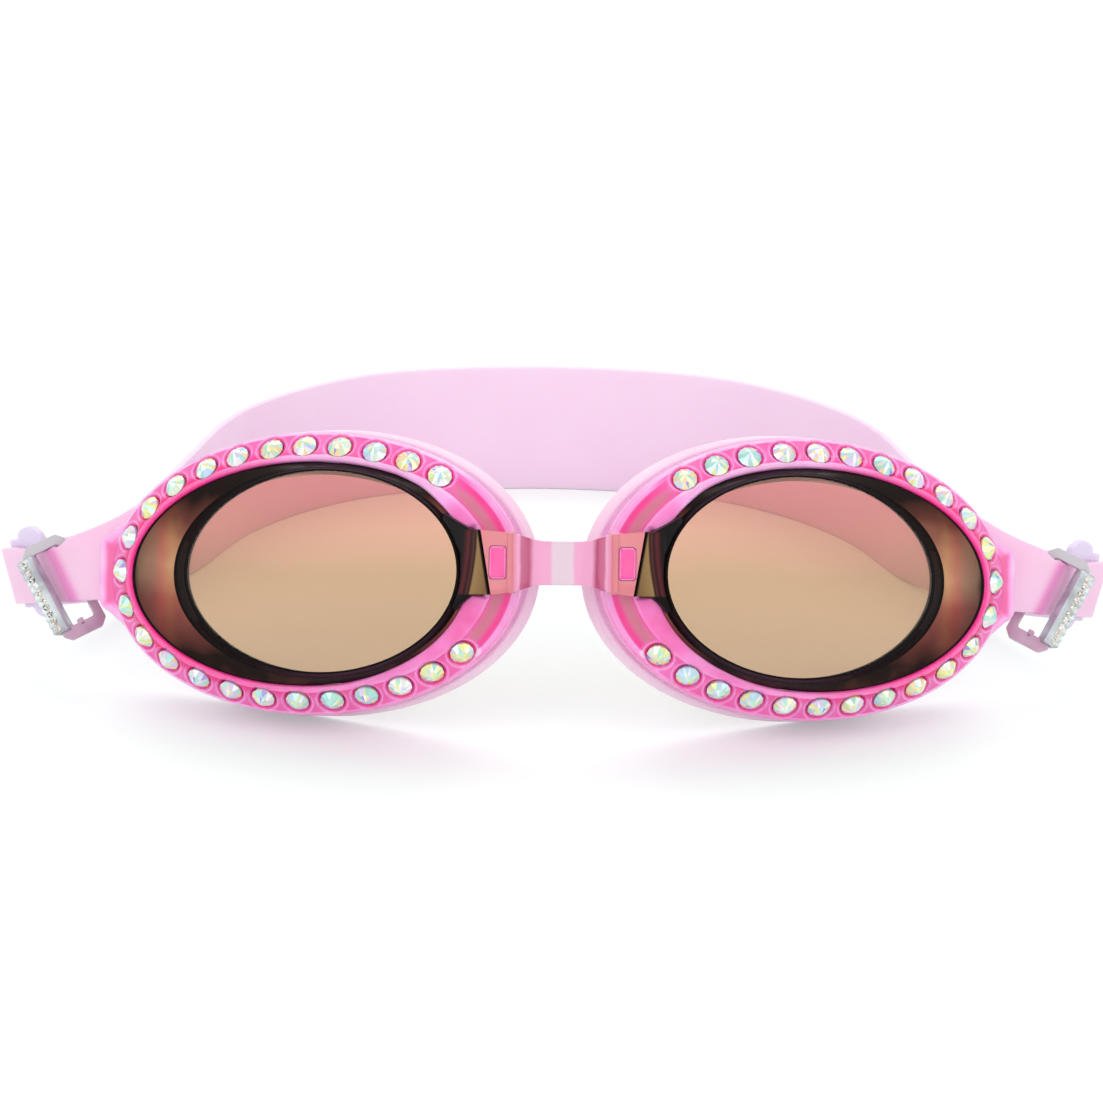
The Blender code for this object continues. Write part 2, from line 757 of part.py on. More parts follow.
def arm_mesh(side):
    """The side arm as a swept strip, cut off at a slant."""
    rings = []
    for along in arm_lengths():
        centre, heading, outward = arm_frame(along)
        across = upward_of(heading, outward) + heading * arm_skew(along)
        half = arm_half_width(along) - arm_dip(along) / 2
        centre -= across * arm_dip(along) / 2
        section = strip_ring(centre, across, outward, half, ARM_THICKNESS / 2)
        rings.append([eye_point(side, *corner) for corner in section])
    return loft("side arm", rings)


def make_gasket(side, label, parent, material):
    """The soft seal and its side arm, moulded as one piece."""
    mesh = loft("gasket", gasket_rings(side), hoop=True)
    gasket = add_part(f"gasket_{label}", mesh, material, parent)
    arm = add_cutter(f"side_arm_{label}", arm_mesh(side), parent)
    boolean(gasket, arm, "UNION")
    return gasket


# ---------------------------------------------------------------- nose bridge


def bridge_back():
    return tongue_top() + GAP


def bridge_front():
    return bridge_back() + BRIDGE_THICKNESS


def plate_point(from_centre, w):
    """(x, y) of a point of the right bridge plate, seen from above in the goggles' frame."""
    place = eye_matrix(1) @ eye_point(1, -from_centre, 0.0, w)
    return Vector((place.x, place.y))


def bridge_stations():
    """(middle, direction out of the face, half height, thickness, slant) from plate end to centre."""
    middle = (bridge_back() + bridge_front()) / 2
    slope = tan(WRAP)
    facing = Vector((sin(WRAP), -cos(WRAP)))
    plate_half = BRIDGE_PLATE_HEIGHT / 2
    neck_half = BRIDGE_NECK_HEIGHT / 2
    start = plate_point(PLATE_START, middle)
    end = plate_point(PLATE_START + PLATE_LENGTH, middle)
    rib_start = plate_point(PLATE_START + PLATE_LENGTH - 2 * BRIDGE_RIB, middle)
    stations = [
        (start, facing, plate_half, BRIDGE_THICKNESS, PLATE_SLANT),
        (rib_start, facing, plate_half, BRIDGE_THICKNESS, 0.0),
        (end, facing, plate_half, BRIDGE_THICKNESS + 2 * BRIDGE_RIB, 0.0),
    ]
    bow = slope / (2 * end.x)
    for step in range(1, BRIDGE_STEPS + 1):
        share = step / BRIDGE_STEPS
        x = end.x * (1 - share)
        y = end.y - bow * (end.x**2 - x**2)
        tilt = atan2(2 * bow * x, 1.0)
        ease = smooth(share / BRIDGE_NARROW_SHARE)
        half = plate_half + (neck_half - plate_half) * ease
        stations.append(
            (Vector((x, y)), Vector((sin(tilt), -cos(tilt))), half, BRIDGE_NECK_THICKNESS, 0.0)
        )
    return stations


def bridge_mesh():
    """Right half of the bridge, open at the middle, where it is mirrored."""
    builder = bmesh.new()
    loops = []
    for place, facing, half, thickness, slant in bridge_stations():
        inward = Vector((facing.y, -facing.x))
        loop = []
        for up, out in ((1, 1), (-1, 1), (-1, -1), (1, -1)):
            spot = place + facing * out * thickness / 2 - inward * slant * up * half
            loop.append(builder.verts.new((spot.x, spot.y, BRIDGE_UP + up * half)))
        loops.append(loop)
    for near, far in zip(loops, loops[1:]):
        join_rings(builder, near, far)
    builder.faces.new(loops[0])
    return finish_mesh(builder, "nose bridge")


def make_bridge(parent, material):
    bridge = add_part("nose_bridge", bridge_mesh(), material, parent)
    mirror = bridge.modifiers.new("other half", "MIRROR")
    mirror.use_axis = (True, False, False)
    mirror.merge_threshold = 0.00001
    bevel(bridge, BRIDGE_ROUND)
    for side, label in ((-1, "left"), (1, "right")):
        window = post_window(f"bridge_window_{label}", side, None)
        window.parent = parent
        window.matrix_local = eye_matrix(side)
        boolean(bridge, window, "DIFFERENCE")
    return bridge


# ---------------------------------------------------------------- buckle


def ring_axes():
    """Where the ring sits on the arm, in (u, v, w): the middle of its inner bar, its long axis,
    the short axis to its outer bar, and its front."""
    centre, heading, outward = arm_frame(fold_start() - RING_BEFORE_FOLD)
    upward = upward_of(heading, outward)
    leaning = upward * cos(RING_TILT) + heading * sin(RING_TILT)
    across_arm = heading * cos(RING_TILT) - upward * sin(RING_TILT)
    standing = across_arm * cos(RING_TWIST) + outward * sin(RING_TWIST)
    front = outward * cos(RING_TWIST) - across_arm * sin(RING_TWIST)
    long_axis = leaning * cos(RING_YAW) + standing * sin(RING_YAW)
    short_axis = standing * cos(RING_YAW) - leaning * sin(RING_YAW)
    behind = ARM_THICKNESS / 2 + GAP + bar_half_diagonal() + RING_BEHIND
    return centre - outward * behind - long_axis * RING_HANG, long_axis, short_axis, front


def bar_half_diagonal():
    return RING_BAR / 2 * 2**0.5


def ring_matrix(side, from_inner_bar):
    """Frame with X along the ring's front and Z along its long axis, this far from its inner bar."""
    inner_bar, long_axis, short_axis, front = ring_axes()
    origin = eye_point(side, *(inner_bar + short_axis * from_inner_bar))
    x_axis = eye_point(side, *front)
    z_axis = eye_point(side, *long_axis)
    y_axis = z_axis.cross(x_axis)
    turn = Matrix((x_axis, y_axis, z_axis)).transposed().to_4x4()
    return Matrix.Translation(origin) @ turn


def bar_to_bar():
    return RING_WIDTH - RING_BAR


def make_ring(side, label, parent, material):
    """The flat ring that the side arm threads."""
    outer = rounded_rectangle(RING_WIDTH, RING_LENGTH, RING_ROUND)
    inner = rounded_rectangle(
        RING_WIDTH - 2 * RING_BAR, RING_LENGTH - 2 * RING_BAR, RING_ROUND / 3
    )
    mesh = flat_plate("buckle ring", (outer, inner), RING_BAR)
    # The outline lies in its own XY plane; the ring's frame has X as its front and Z as its length.
    mesh.transform(Matrix(((0, 0, 1), (1, 0, 0), (0, 1, 0))).to_4x4())
    ring = add_part(f"buckle_frame_{label}", mesh, material, parent, ring_matrix(side, bar_to_bar() / 2))
    bevel(ring, RING_BAR / 7)
    return ring


def lever_bore():
    return bar_half_diagonal() + GAP


def lever_outline(side):
    """Section of the pivoting bar: a flat-faced channel with a slot that snaps over the ring."""
    bore = lever_bore()
    half_face = LEVER_FACE / 2
    reach = bore + LEVER_WALL
    slot = LEVER_SLOT / 2
    start = atan2(slot, bore)
    diagonal = cos(pi / 4)
    inner = []
    for step in range(BORE_STEPS + 1):
        angle = pi + start + (2 * pi - 2 * start) * step / BORE_STEPS
        inner.append((bore * cos(angle), bore * sin(angle)))
    outer = [
        (-reach, slot),
        (-reach * diagonal, reach * diagonal),
        (0.0, reach),
        (reach - LEVER_EDGE, half_face + LEVER_THUMB),
        (reach, half_face + LEVER_THUMB),
        (reach, -half_face),
        (reach - LEVER_EDGE, -half_face),
        (0.0, -reach),
        (-reach * diagonal, -reach * diagonal),
        (-reach, -slot),
    ]
    outline = inner + outer
    return [(x, y * side) for x, y in outline]


def lever_length():
    return RING_LENGTH - 2 * RING_BAR - 2 * GAP


def make_lever(side, label, parent, material):
    """The bar that pivots on the ring's outer side. Its origin is on the pivot."""
    half = lever_length() / 2
    outline = lever_outline(side)
    rings = [[Vector((x, y, height)) for x, y in outline] for height in (-half, half)]
    matrix = ring_matrix(side, bar_to_bar())
    lever = add_part(f"buckle_lever_{label}", loft("lever", rings), material, parent, matrix)
    return lever


# ---------------------------------------------------------------- head strap


def to_stand(point):
    """A point of the right eye cup's (u, v, w) in the frame that stands on the table."""
    return goggles_matrix() @ eye_matrix(1) @ eye_point(1, *point)


def lowest_gasket():
    """Height of the gasket's lowest point below the cups' centres."""
    heights = []
    for ring in gasket_rings(1):
        for point in ring:
            heights.append((goggles_matrix() @ eye_matrix(1) @ point).z)
    return min(heights)


def paddle_half_width(share):
    """The rounded paddle: widest in its middle, and the strap's own width where the strap leaves."""
    round_top = max(1 - (2 * share - 1) ** 2, 0.0) ** 0.5
    base = HOOK_WIDTH / 2 if share < 0.5 else STRAP_SIDE_WIDTH / 2
    return base + (PADDLE_HEIGHT / 2 - base) * round_top


def hook_sections():
    """The strap's end: a lip that hooks the ring's inner bar, a neck that passes behind that bar,
    and a rounded paddle behind the end of the arm."""
    centre, heading, outward = arm_frame(fold_start() - RING_BEFORE_FOLD)
    inner_bar, long_axis, _, _ = ring_axes()
    inner_bar = inner_bar + long_axis * RING_HANG
    past_bar = (heading - long_axis * heading.dot(long_axis)).normalized()
    off_bar = past_bar.cross(long_axis)
    if off_bar.dot(outward) < 0:
        off_bar.negate()
    half_strap = STRAP_THICKNESS / 2
    clear = bar_half_diagonal() + GAP + half_strap
    lip_front = (inner_bar - centre).length - ARM_THICKNESS / 2 - LIP_BEHIND_ARM
    lip = inner_bar - past_bar * clear
    half = HOOK_WIDTH / 2
    in_round = HOOK_ROUND * (1 - cos(pi / 4))
    corner = lip + past_bar * in_round - off_bar * (clear - in_round)
    behind_bar = inner_bar - off_bar * clear
    path = [
        (lip + off_bar * lip_front, long_axis, past_bar, half),
        (lip - off_bar * (clear - HOOK_ROUND), long_axis, past_bar, half),
        (corner, long_axis, (past_bar + off_bar).normalized(), half),
        (lip + past_bar * HOOK_ROUND - off_bar * clear, long_axis, off_bar, half),
        (behind_bar + past_bar * STRAP_THICKNESS / 2, long_axis, off_bar, half),
    ]
    behind_arm = (ARM_THICKNESS + STRAP_THICKNESS) / 2 + GAP
    for step in range(PADDLE_STEPS + 1):
        share = step / PADDLE_STEPS
        centre, heading, outward = arm_frame(PADDLE_START + PADDLE_LENGTH * share)
        middle = centre - outward * behind_arm
        path.append((middle, upward_of(heading, outward), outward, paddle_half_width(share)))
    sections = []
    for middle, across, facing, half in path:
        origin = to_stand(middle)
        across = (to_stand(middle + across) - origin).normalized()
        facing = (to_stand(middle + facing) - origin).normalized()
        sections.append((origin, across, facing, half))
    return sections


def loop_point(angle):
    """Plan point of the oval that the back of the strap follows, at an angle from its side."""
    power = 2 / STRAP_LOOP_POWER
    x = STRAP_LOOP_WIDTH / 2 * abs(cos(angle)) ** power
    y = STRAP_LOOP_START + (STRAP_BACK - STRAP_LOOP_START) * sin(angle) ** power
    return x, y


def strap_route(leave, ahead):
    """Plan points (x, y) of the strap's centre line from the paddle to the middle of the back."""
    turn = Vector((leave.x, leave.y)) + Vector((ahead.x, ahead.y)) * TURN_AHEAD
    joins = Vector(loop_point(LOOP_JOIN))
    route = [
        (leave.x, leave.y),
        (turn.x, turn.y + TURN_BACK),
        tuple(turn.lerp(joins, 0.5)),
    ]
    for index in range(LOOP_POINTS):
        route.append(loop_point(LOOP_JOIN + LOOP_TURN * index))
    route.append((0.0, STRAP_BACK))
    return route


def spline_point(points, place):
    """Catmull-Rom point at place, in spans, along a list of plan points that mirrors at its end."""
    last = len(points) - 1
    span = min(int(place), last - 1)
    share = place - span
    mirrored = (-points[last - 1][0], points[last - 1][1])
    p0 = Vector(points[max(span - 1, 0)])
    p1 = Vector(points[span])
    p2 = Vector(points[span + 1])
    p3 = Vector(points[span + 2]) if span + 2 <= last else Vector(mirrored)
    return 0.5 * (
        2 * p1
        + (p2 - p0) * share
        + (2 * p0 - 5 * p1 + 4 * p2 - p3) * share**2
        + (3 * p1 - p0 - 3 * p2 + p3) * share**3
    )


def strap_sections():
    """Every section of the right half of the strap, from its hook to the middle of the back."""
    sections = hook_sections()
    floor = lowest_gasket()
    leave, leave_across, _, leave_half = sections[-1]
    route = strap_route(leave, (leave - sections[-2][0]).normalized())
    spans = len(route) - 1
    places = [spline_point(route, spans * step / STRAP_STEPS) for step in range(STRAP_STEPS + 1)]
    lengths = [0.0]
    for here, there in zip(places, places[1:]):
        lengths.append(lengths[-1] + (there - here).length)
    start_height = leave.z - leave_half - floor
    for index in range(1, STRAP_STEPS + 1):
        share = lengths[index] / lengths[-1]
        place = places[index]
        ahead = places[min(index + 1, STRAP_STEPS)] - places[index - 1]
        if index == STRAP_STEPS:
            ahead = Vector((-1.0, 0.0))
        ahead.normalize()
        upright = smooth(share / STRAP_UPRIGHT_SHARE)
        across = leave_across.lerp(Vector((0.0, 0.0, 1.0)), upright).normalized()
        outward = Vector((ahead.y, -ahead.x, 0.0))
        outward = (outward - across * outward.dot(across)).normalized()
        wider = smooth((share - STRAP_NARROW_SHARE) / (STRAP_WIDE_SHARE - STRAP_NARROW_SHARE))
        half = (STRAP_SIDE_WIDTH + (STRAP_BACK_WIDTH - STRAP_SIDE_WIDTH) * wider) / 2
        edge = start_height * max(1 - share / STRAP_DOWN_SHARE, 0.0) ** STRAP_DOWN_POWER
        centre = Vector((place.x, place.y, floor + edge + half))
        sections.append((centre, across, outward, half))
    return sections


def strap_mesh():
    """Right half of the strap, open at the middle of the back, where it is mirrored."""
    builder = bmesh.new()
    loops = []
    for centre, across, outward, half in strap_sections():
        ring = strip_ring(centre, across, outward, half, STRAP_THICKNESS / 2)
        loops.append([builder.verts.new(point) for point in ring])
    for vert in loops[-1]:
        vert.co.x = 0.0
    for near, far in zip(loops, loops[1:]):
        join_rings(builder, near, far)
    builder.faces.new(loops[0])
    return finish_mesh(builder, "head strap")


def make_strap(parent, material):
    strap = add_part("head_strap", strap_mesh(), material, parent)
    mirror = strap.modifiers.new("other half", "MIRROR")
    mirror.use_axis = (True, False, False)
    mirror.merge_threshold = 0.00001
    return strap


# ---------------------------------------------------------------- assembly


def make_materials():
    return {
        "lens": new_material("mirrored lens", (0.62, 0.32, 0.22), 0.08, 0.85),
        "bezel": new_material("pink bezel", (0.90, 0.10, 0.45), 0.18),
        "gasket": new_material("gasket silicone", (0.90, 0.55, 0.76), 0.42),
        "stone": new_material("crystal", (0.85, 0.90, 0.86), 0.05, 0.3),
        "bridge": new_material("bridge", (0.92, 0.35, 0.62), 0.25),
        "ring": new_material("buckle ring", (0.50, 0.36, 0.48), 0.30),
        "lever": new_material("silver bar", (0.60, 0.63, 0.63), 0.30, 0.8),
        "strap": new_material("strap silicone", (0.93, 0.62, 0.84), 0.42),
    }


def make_eye(side, label, eye, materials):
    make_lens(side, label, eye, materials["lens"])
    make_bezel(side, label, eye, materials["bezel"])
    make_stones(side, label, eye, materials["stone"])
    make_gasket(side, label, eye, materials["gasket"])
    make_ring(side, label, eye, materials["ring"])
    make_lever(side, label, eye, materials["lever"])


def bridge_centre():
    return bridge_stations()[-1][0]


def stand_on_floor(stand):
    """Moves the whole so that the origin is at the bottom centre of its box."""
    bpy.context.view_layer.update()
    graph = bpy.context.evaluated_depsgraph_get()
    places = []
    for part in bpy.data.collections[COLLECTION].objects:
        if part.type != "MESH":
            continue
        shape = part.evaluated_get(graph)
        places += [shape.matrix_world @ vert.co for vert in shape.data.vertices]
    front = min(place.y for place in places)
    back = max(place.y for place in places)
    floor = min(place.z for place in places)
    stand.location = (0.0, -(front + back) / 2, -floor)


def main():
    clear_scene()
    new_collection(COLLECTION)
    new_collection(CUTTERS)
    materials = make_materials()
    stand = add_empty("stand")
    goggles = add_empty("goggles", stand, goggles_matrix())
    make_eye(-1, "left", add_empty("eye_left", goggles, eye_matrix(-1)), materials)
    pivot_place = Matrix.Translation((0.0, bridge_centre().y, 0.0))
    pivot = add_empty("bridge_pivot", goggles, pivot_place)
    right = add_empty("eye_right", pivot, pivot_place.inverted() @ eye_matrix(1))
    make_eye(1, "right", right, materials)
    make_bridge(goggles, materials["bridge"])
    make_strap(stand, materials["strap"])
    stand_on_floor(stand)


main()
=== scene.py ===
"""Looks of the swim goggles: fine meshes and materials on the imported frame, floor, lights, camera.

Metres, in the frame's own axes. Each eye cup has its own coordinates, as the frame's lens mounts
give them: u runs to the temple, v up and w out of the lens.
"""

import json
import random
from math import atan2, cos, exp, hypot, pi, radians, sin, tan

import bmesh
import bpy
from mathutils import Matrix, Vector


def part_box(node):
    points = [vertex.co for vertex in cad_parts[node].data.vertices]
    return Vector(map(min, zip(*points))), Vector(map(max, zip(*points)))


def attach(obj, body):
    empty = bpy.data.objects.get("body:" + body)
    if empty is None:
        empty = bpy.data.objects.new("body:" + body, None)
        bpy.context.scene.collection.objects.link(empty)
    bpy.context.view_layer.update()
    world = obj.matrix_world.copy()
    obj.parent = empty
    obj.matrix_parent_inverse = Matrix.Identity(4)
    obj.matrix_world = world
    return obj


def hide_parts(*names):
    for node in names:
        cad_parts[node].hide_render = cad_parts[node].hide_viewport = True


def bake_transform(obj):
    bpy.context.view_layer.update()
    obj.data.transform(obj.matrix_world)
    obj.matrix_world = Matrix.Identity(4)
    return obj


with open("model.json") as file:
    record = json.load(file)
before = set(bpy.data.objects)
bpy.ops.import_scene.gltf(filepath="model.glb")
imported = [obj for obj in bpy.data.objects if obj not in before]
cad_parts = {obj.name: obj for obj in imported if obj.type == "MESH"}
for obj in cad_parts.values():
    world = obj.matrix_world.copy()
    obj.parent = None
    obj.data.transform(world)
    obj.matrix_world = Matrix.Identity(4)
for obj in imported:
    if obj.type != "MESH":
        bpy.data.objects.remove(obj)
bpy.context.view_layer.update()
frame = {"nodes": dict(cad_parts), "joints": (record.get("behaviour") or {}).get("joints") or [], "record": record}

MM = 0.001


def mm(*lengths):
    return [length * MM for length in lengths]


MOUNTS = {mount["name"]: mount for mount in frame["record"]["mounts"]}
JOINTS = {joint["name"]: joint for joint in frame["joints"]}
X_AXIS, Z_AXIS = Vector((1.0, 0.0, 0.0)), Vector((0.0, 0.0, 1.0))

# Eye cup: openings, lens, bezel, lugs and bridge.
CANT = radians(2.0)
OPENING_WIDTH, OPENING_HEIGHT = mm(57.4, 34.3)
FACE_WIDTH, FACE_HEIGHT = mm(44.4, 31.4)
FACE_TO_NOSE, FACE_UP, FACE_RISE = mm(3.1, 0.4, 3.5)
FACE_RIM, FACE_RIM_TEMPLE, FACE_EDGE = mm(0.36, 0.4, 0.35)
STEP_HEIGHT, STEP_FLARE, STEP_TO_TEMPLE = mm(2.0, 0.4, 0.7)
LENS_WALL, LENS_DEPTH, LENS_GAP = mm(1.6, 6.3, 0.03)
LENS_EDGE_RISE, LENS_BAND_DEPTH = mm(0.1, 1.2)
CLEARANCE = 0.3 * MM
BEZEL_DEPTH = 6.5 * MM
LIP_WIDTH, LIP_RISE, LIP_CREST, LIP_INNER_ROUND, LIP_OUTER_ROUND = mm(0.9, 0.35, 1.25, 0.45, 0.4)
INNER_WALL_TOP, INNER_WALL_BOTTOM = mm(-1.0, -5.0)
CHAMFER_WIDTH, CHAMFER_SLOPE = 3.4 * MM, radians(40.0)
RIM_WIDTH, RIM_ROUND = mm(4.6, 0.35)
LUG_REACH, LUG_THICKNESS, LUG_SPREAD = 36 * MM, 2.6 * MM, radians(40.0)
LUG_LOW, LUG_HIGH, LUG_CORNER, LUG_ROUND = mm(-6.6, 5.6, 2.4, 0.6)
BRIDGE_UP, PLATE_HEIGHT, PLATE_START, PLATE_SLANT = 2.2 * MM, 9.8 * MM, 29.4 * MM, tan(radians(10))
LENS_LUG_THICKNESS, TONGUE_BOTTOM = mm(2.1, 0.7)
TONGUE_THICKNESS, TONGUE_REACH = mm(0.8, 33.6)
TONGUE_ROOT_LOW, TONGUE_ROOT_HIGH = mm(0.2, 1.4)
POST_FROM_CENTRE, POST_WIDTH, POST_HEIGHT, POST_FRONT = mm(31.3, 2.2, 4.5, 3.3)
CATCH_LARGER, CATCH_CORNER, CATCH_BACK, CATCH_ROUND = mm(0.22, 0.55, 3.0, 0.3)
PLATE_LENGTH, BRIDGE_THICKNESS, BRIDGE_RIB = mm(4.8, 1.3, 0.5)
BRIDGE_RIB_HEIGHT, BRIDGE_NECK_HEIGHT, BRIDGE_NECK_THICKNESS = mm(8.7, 6.6, 1.6)

# Ears of the lens's lug, and the bezel's lip that reaches towards the black rim between them.
EAR_TOP, EAR_BOTTOM = pi - 0.5, pi + 0.4
EAR_TOP_END, EAR_TOP_BEND, EAR_TOP_RISE = mm(-27.0, -25.8, 0.5)
EAR_BOTTOM_END, EAR_BOTTOM_BEND, EAR_BOTTOM_DROP = mm(-27.4, -26.2, 0.6)
NOSE_LIP_GAP, NOSE_LIP_LIFT, NOSE_LIP_UNDER = mm(0.95, 0.28, 1.15)

# Stones and their seats.
SEAT_RADIUS, SEAT_DEPTH = mm(1.8, 0.75)
SCALLOP_RADIUS, SCALLOP_DEPTH = mm(2.35, 0.4)
STONE_RADIUS, STONE_HEIGHT, STONE_TILT = 1.85 * MM, 1.9 * MM, 0.12

# Gasket and its side arm.
GASKET_DEPTH, GASKET_TEMPLE_DEPTH, GASKET_PIGMENT = 7.0 * MM, 2.2 * MM, 0.24
ARM_UP, ARM_START, ARM_STRAIGHT = mm(1.4, 31.5, 6.3)
ARM_RADIUS, ARM_BEND = 60 * MM, radians(5.0)
ARM_FOLD_RADIUS, ARM_FOLD, ARM_FOLD_SKEW = 3.0 * MM, radians(30.0), radians(21.0)
ARM_LENGTH, ARM_FLARE_LENGTH, ARM_ROOT_HIDDEN = mm(26.5, 8.5, 3.0)
ARM_ROOT_WIDTH, ARM_WIDTH, ARM_END_WIDTH = mm(19.0, 10.6, 9.2)
ARM_DIP, ARM_DIP_LENGTH = mm(1.5, 4.0)
ARM_THICKNESS, ARM_PIGMENT = 1.2 * MM, 0.22
ARM_DROOP, ARM_END_SLANT = tan(radians(7.7)), tan(radians(3.4))
FOLD_START = ARM_STRAIGHT + ARM_RADIUS * ARM_BEND
FOLD_END = FOLD_START + ARM_FOLD_RADIUS * ARM_FOLD

# Buckle.
RING_BEHIND, RING_LENGTH, RING_WIDTH, RING_BAR = mm(0.1, 16.5, 7.4, 1.4)
RING_BEFORE_FOLD, RING_HANG = mm(0.6, 1.8)
RING_TILT, RING_TWIST, RING_YAW = radians(17.5), radians(38.0), radians(6.0)
BAR_TO_BAR, BAR_HALF_DIAGONAL = RING_WIDTH - RING_BAR, RING_BAR / 2 * 2**0.5
RING_CORNER, RING_HOLE_CORNER, RING_END_BAR, RING_LOW_BAR = mm(1.1, 0.35, 1.6, 2.1)
STOP_FROM_BAR, STOP_WIDTH, STOP_LENGTH = mm(3.3, 0.9, 1.3)
LEVER_SLOT, LEVER_BORE, LEVER_WALL = mm(1.2, 1.08, 0.4)
LEVER_INNER, LEVER_OUTER, LEVER_EDGE, LEVER_SWELL = mm(-0.38, 2.2, 0.9, 0.1)
LEVER_ROUNDED_PAST, LEVER_SWELLS_PAST = mm(1.0, 1.7)
LEVER_STONE_PITCH, LEVER_STONE_FRONT, LEVER_STONE_OUT = mm(1.25, 1.13, 1.28)
LEVER_STONE_RADIUS, LEVER_STONE_HEIGHT = mm(0.56, 0.45)

# Head strap.
STRAP_THICKNESS, STRAP_SIDE_WIDTH, STRAP_BACK_WIDTH = mm(1.2, 11.3, 23.3)
STRAP_BACK, STRAP_LOOP_WIDTH, STRAP_LOOP_START = mm(120.5, 132, 26)
STRAP_LOOP_POWER = 2.5
STRAP_NARROW_SHARE, STRAP_WIDE_SHARE, STRAP_DOWN_SHARE = 0.11, 0.46, 0.42
STRAP_DOWN_POWER, STRAP_UPRIGHT_SHARE = 1.8, 0.25
PADDLE_HEIGHT, PADDLE_START, PADDLE_LENGTH = mm(15.0, 17.0, 7.0)
TURN_AHEAD, TURN_BACK = mm(0.8, 3.2)
HOOK_WIDTH, HOOK_ROUND, LIP_BEHIND_ARM = mm(7.9, 0.7, 1.0)
LOOP_JOIN, LOOP_TURN, LOOP_POINTS = radians(24.0), radians(16.0), 4
STRAP_BLEND_REACH, BRIDGE_BLEND_REACH = mm(55, 3)

# Camera and floor.
CAMERA_AIM = Vector((-1.397, -50.586, 28.802)) * MM
CAMERA_AZIMUTH, CAMERA_ELEVATION, CAMERA_ROLL = radians(-1.267), radians(19.301), radians(1.176)
CAMERA_DISTANCE, FOCAL_LENGTH = 628 * MM, 133.09
FLOOR_GLOW = 0.19

# Fineness of the meshes.
LENS_STEPS, BEZEL_STEPS, GASKET_STEPS = 192, 720, 240


# ---- helpers


def smooth(share):
    share = min(max(share, 0.0), 1.0)
    return share * share * (3.0 - 2.0 * share)


def bell(offset, width):
    return exp(-((offset / width) ** 2))


def shares(steps):
    """Even steps from 0 to 1, both included."""
    return [step / steps for step in range(steps + 1)]


def turns(steps, shift=0.0):
    """Angles of even steps round a full turn."""
    return [2 * pi * (step + shift) / steps for step in range(steps)]


def arc(centre, radius, start, end, steps):
    """(x, y) points along an arc, both ends included. Angles in radians."""
    angles = [start + (end - start) * share for share in shares(steps)]
    return [(centre[0] + radius * cos(angle), centre[1] + radius * sin(angle)) for angle in angles]


def finish_mesh(builder, name, sharp=None):
    bmesh.ops.recalc_face_normals(builder, faces=builder.faces)
    mesh = bpy.data.meshes.new(name)
    builder.to_mesh(mesh)
    builder.free()
    mesh.shade_smooth()
    if sharp is not None:
        mesh.set_sharp_from_angle(angle=radians(sharp))
    return mesh


def add_object(name, mesh, *materials):
    obj = bpy.data.objects.new(name, mesh)
    for material in materials:
        obj.data.materials.append(material)
    bpy.context.scene.collection.objects.link(obj)
    return obj


def join_rings(builder, near, far, material=0):
    """The band of faces between two rings of vertices."""
    faces = []
    for index, corner in enumerate(near):
        after = (index + 1) % len(near)
        faces.append(builder.faces.new((corner, near[after], far[after], far[index])))
        faces[-1].material_index = material
    return faces


def add_rings(builder, rings, materials=None, close=False, caps=(None, None)):
    """Joins rings of points into builder. caps are the materials of the end caps, or None."""
    loops = [[builder.verts.new(point) for point in ring] for ring in rings]
    bands = list(zip(loops, loops[1:]))
    if close:
        bands.append((loops[-1], loops[0]))
    for index, (near, far) in enumerate(bands):
        join_rings(builder, near, far, materials[index] if materials else 0)
    for loop, material in ((loops[0], caps[0]), (loops[-1], caps[1])):
        if material is not None:
            builder.faces.new(loop).material_index = material
    return loops


def add_bar(builder, rings):
    """A closed bar along the rings, of the first material."""
    return add_rings(builder, rings, caps=(0, 0))


def bar_mesh(name, rings):
    builder = bmesh.new()
    add_bar(builder, rings)
    return finish_mesh(builder, name)


def paint(loops, layer, values):
    for loop, value in zip(loops, values):
        for vert in loop:
            vert[layer] = value


def put_values(mesh, name, kind, field, values):
    """Writes one value for each point to a new attribute of the mesh."""
    layer = mesh.attributes.new(name, kind, "POINT")
    for item, value in zip(layer.data, values):
        setattr(item, field, value)


def ride(piece, body, slot, *nodes):
    """Fixes a piece to a body and hides the frame's nodes that it stands for. slot is not used."""
    if nodes:
        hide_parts(*nodes)
    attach(piece, body)


def bend(piece, node, reach, y, z):
    """Stands a soft piece for its node: hides the node and fixes the piece's place into its mesh. reach, y and z
    are not used.
    """
    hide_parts(node)
    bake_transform(piece)


def apply_modifiers(obj, sharp):
    """Turns the object's evaluated shape into its own mesh, smooth up to an angle."""
    graph = bpy.context.evaluated_depsgraph_get()
    mesh = bpy.data.meshes.new_from_object(obj.evaluated_get(graph))
    obj.modifiers.clear()
    obj.data = mesh
    mesh.shade_smooth()
    mesh.set_sharp_from_angle(angle=radians(sharp))


def rounded_edges(obj, width):
    edge = obj.modifiers.new("rounded edges", "BEVEL")
    edge.width = width
    edge.segments = 2
    edge.limit_method = "ANGLE"
    edge.angle_limit = radians(30)
    apply_modifiers(obj, sharp=35)


def combine(whole, operation, others, sharp):
    """Joins the other objects to the whole, or cuts them out of it."""
    for other in others:
        step = whole.modifiers.new("combine", "BOOLEAN")
        step.operation = operation
        step.solver = "MANIFOLD"
        step.object = other
    apply_modifiers(whole, sharp)
    for other in others:
        bpy.data.objects.remove(other)


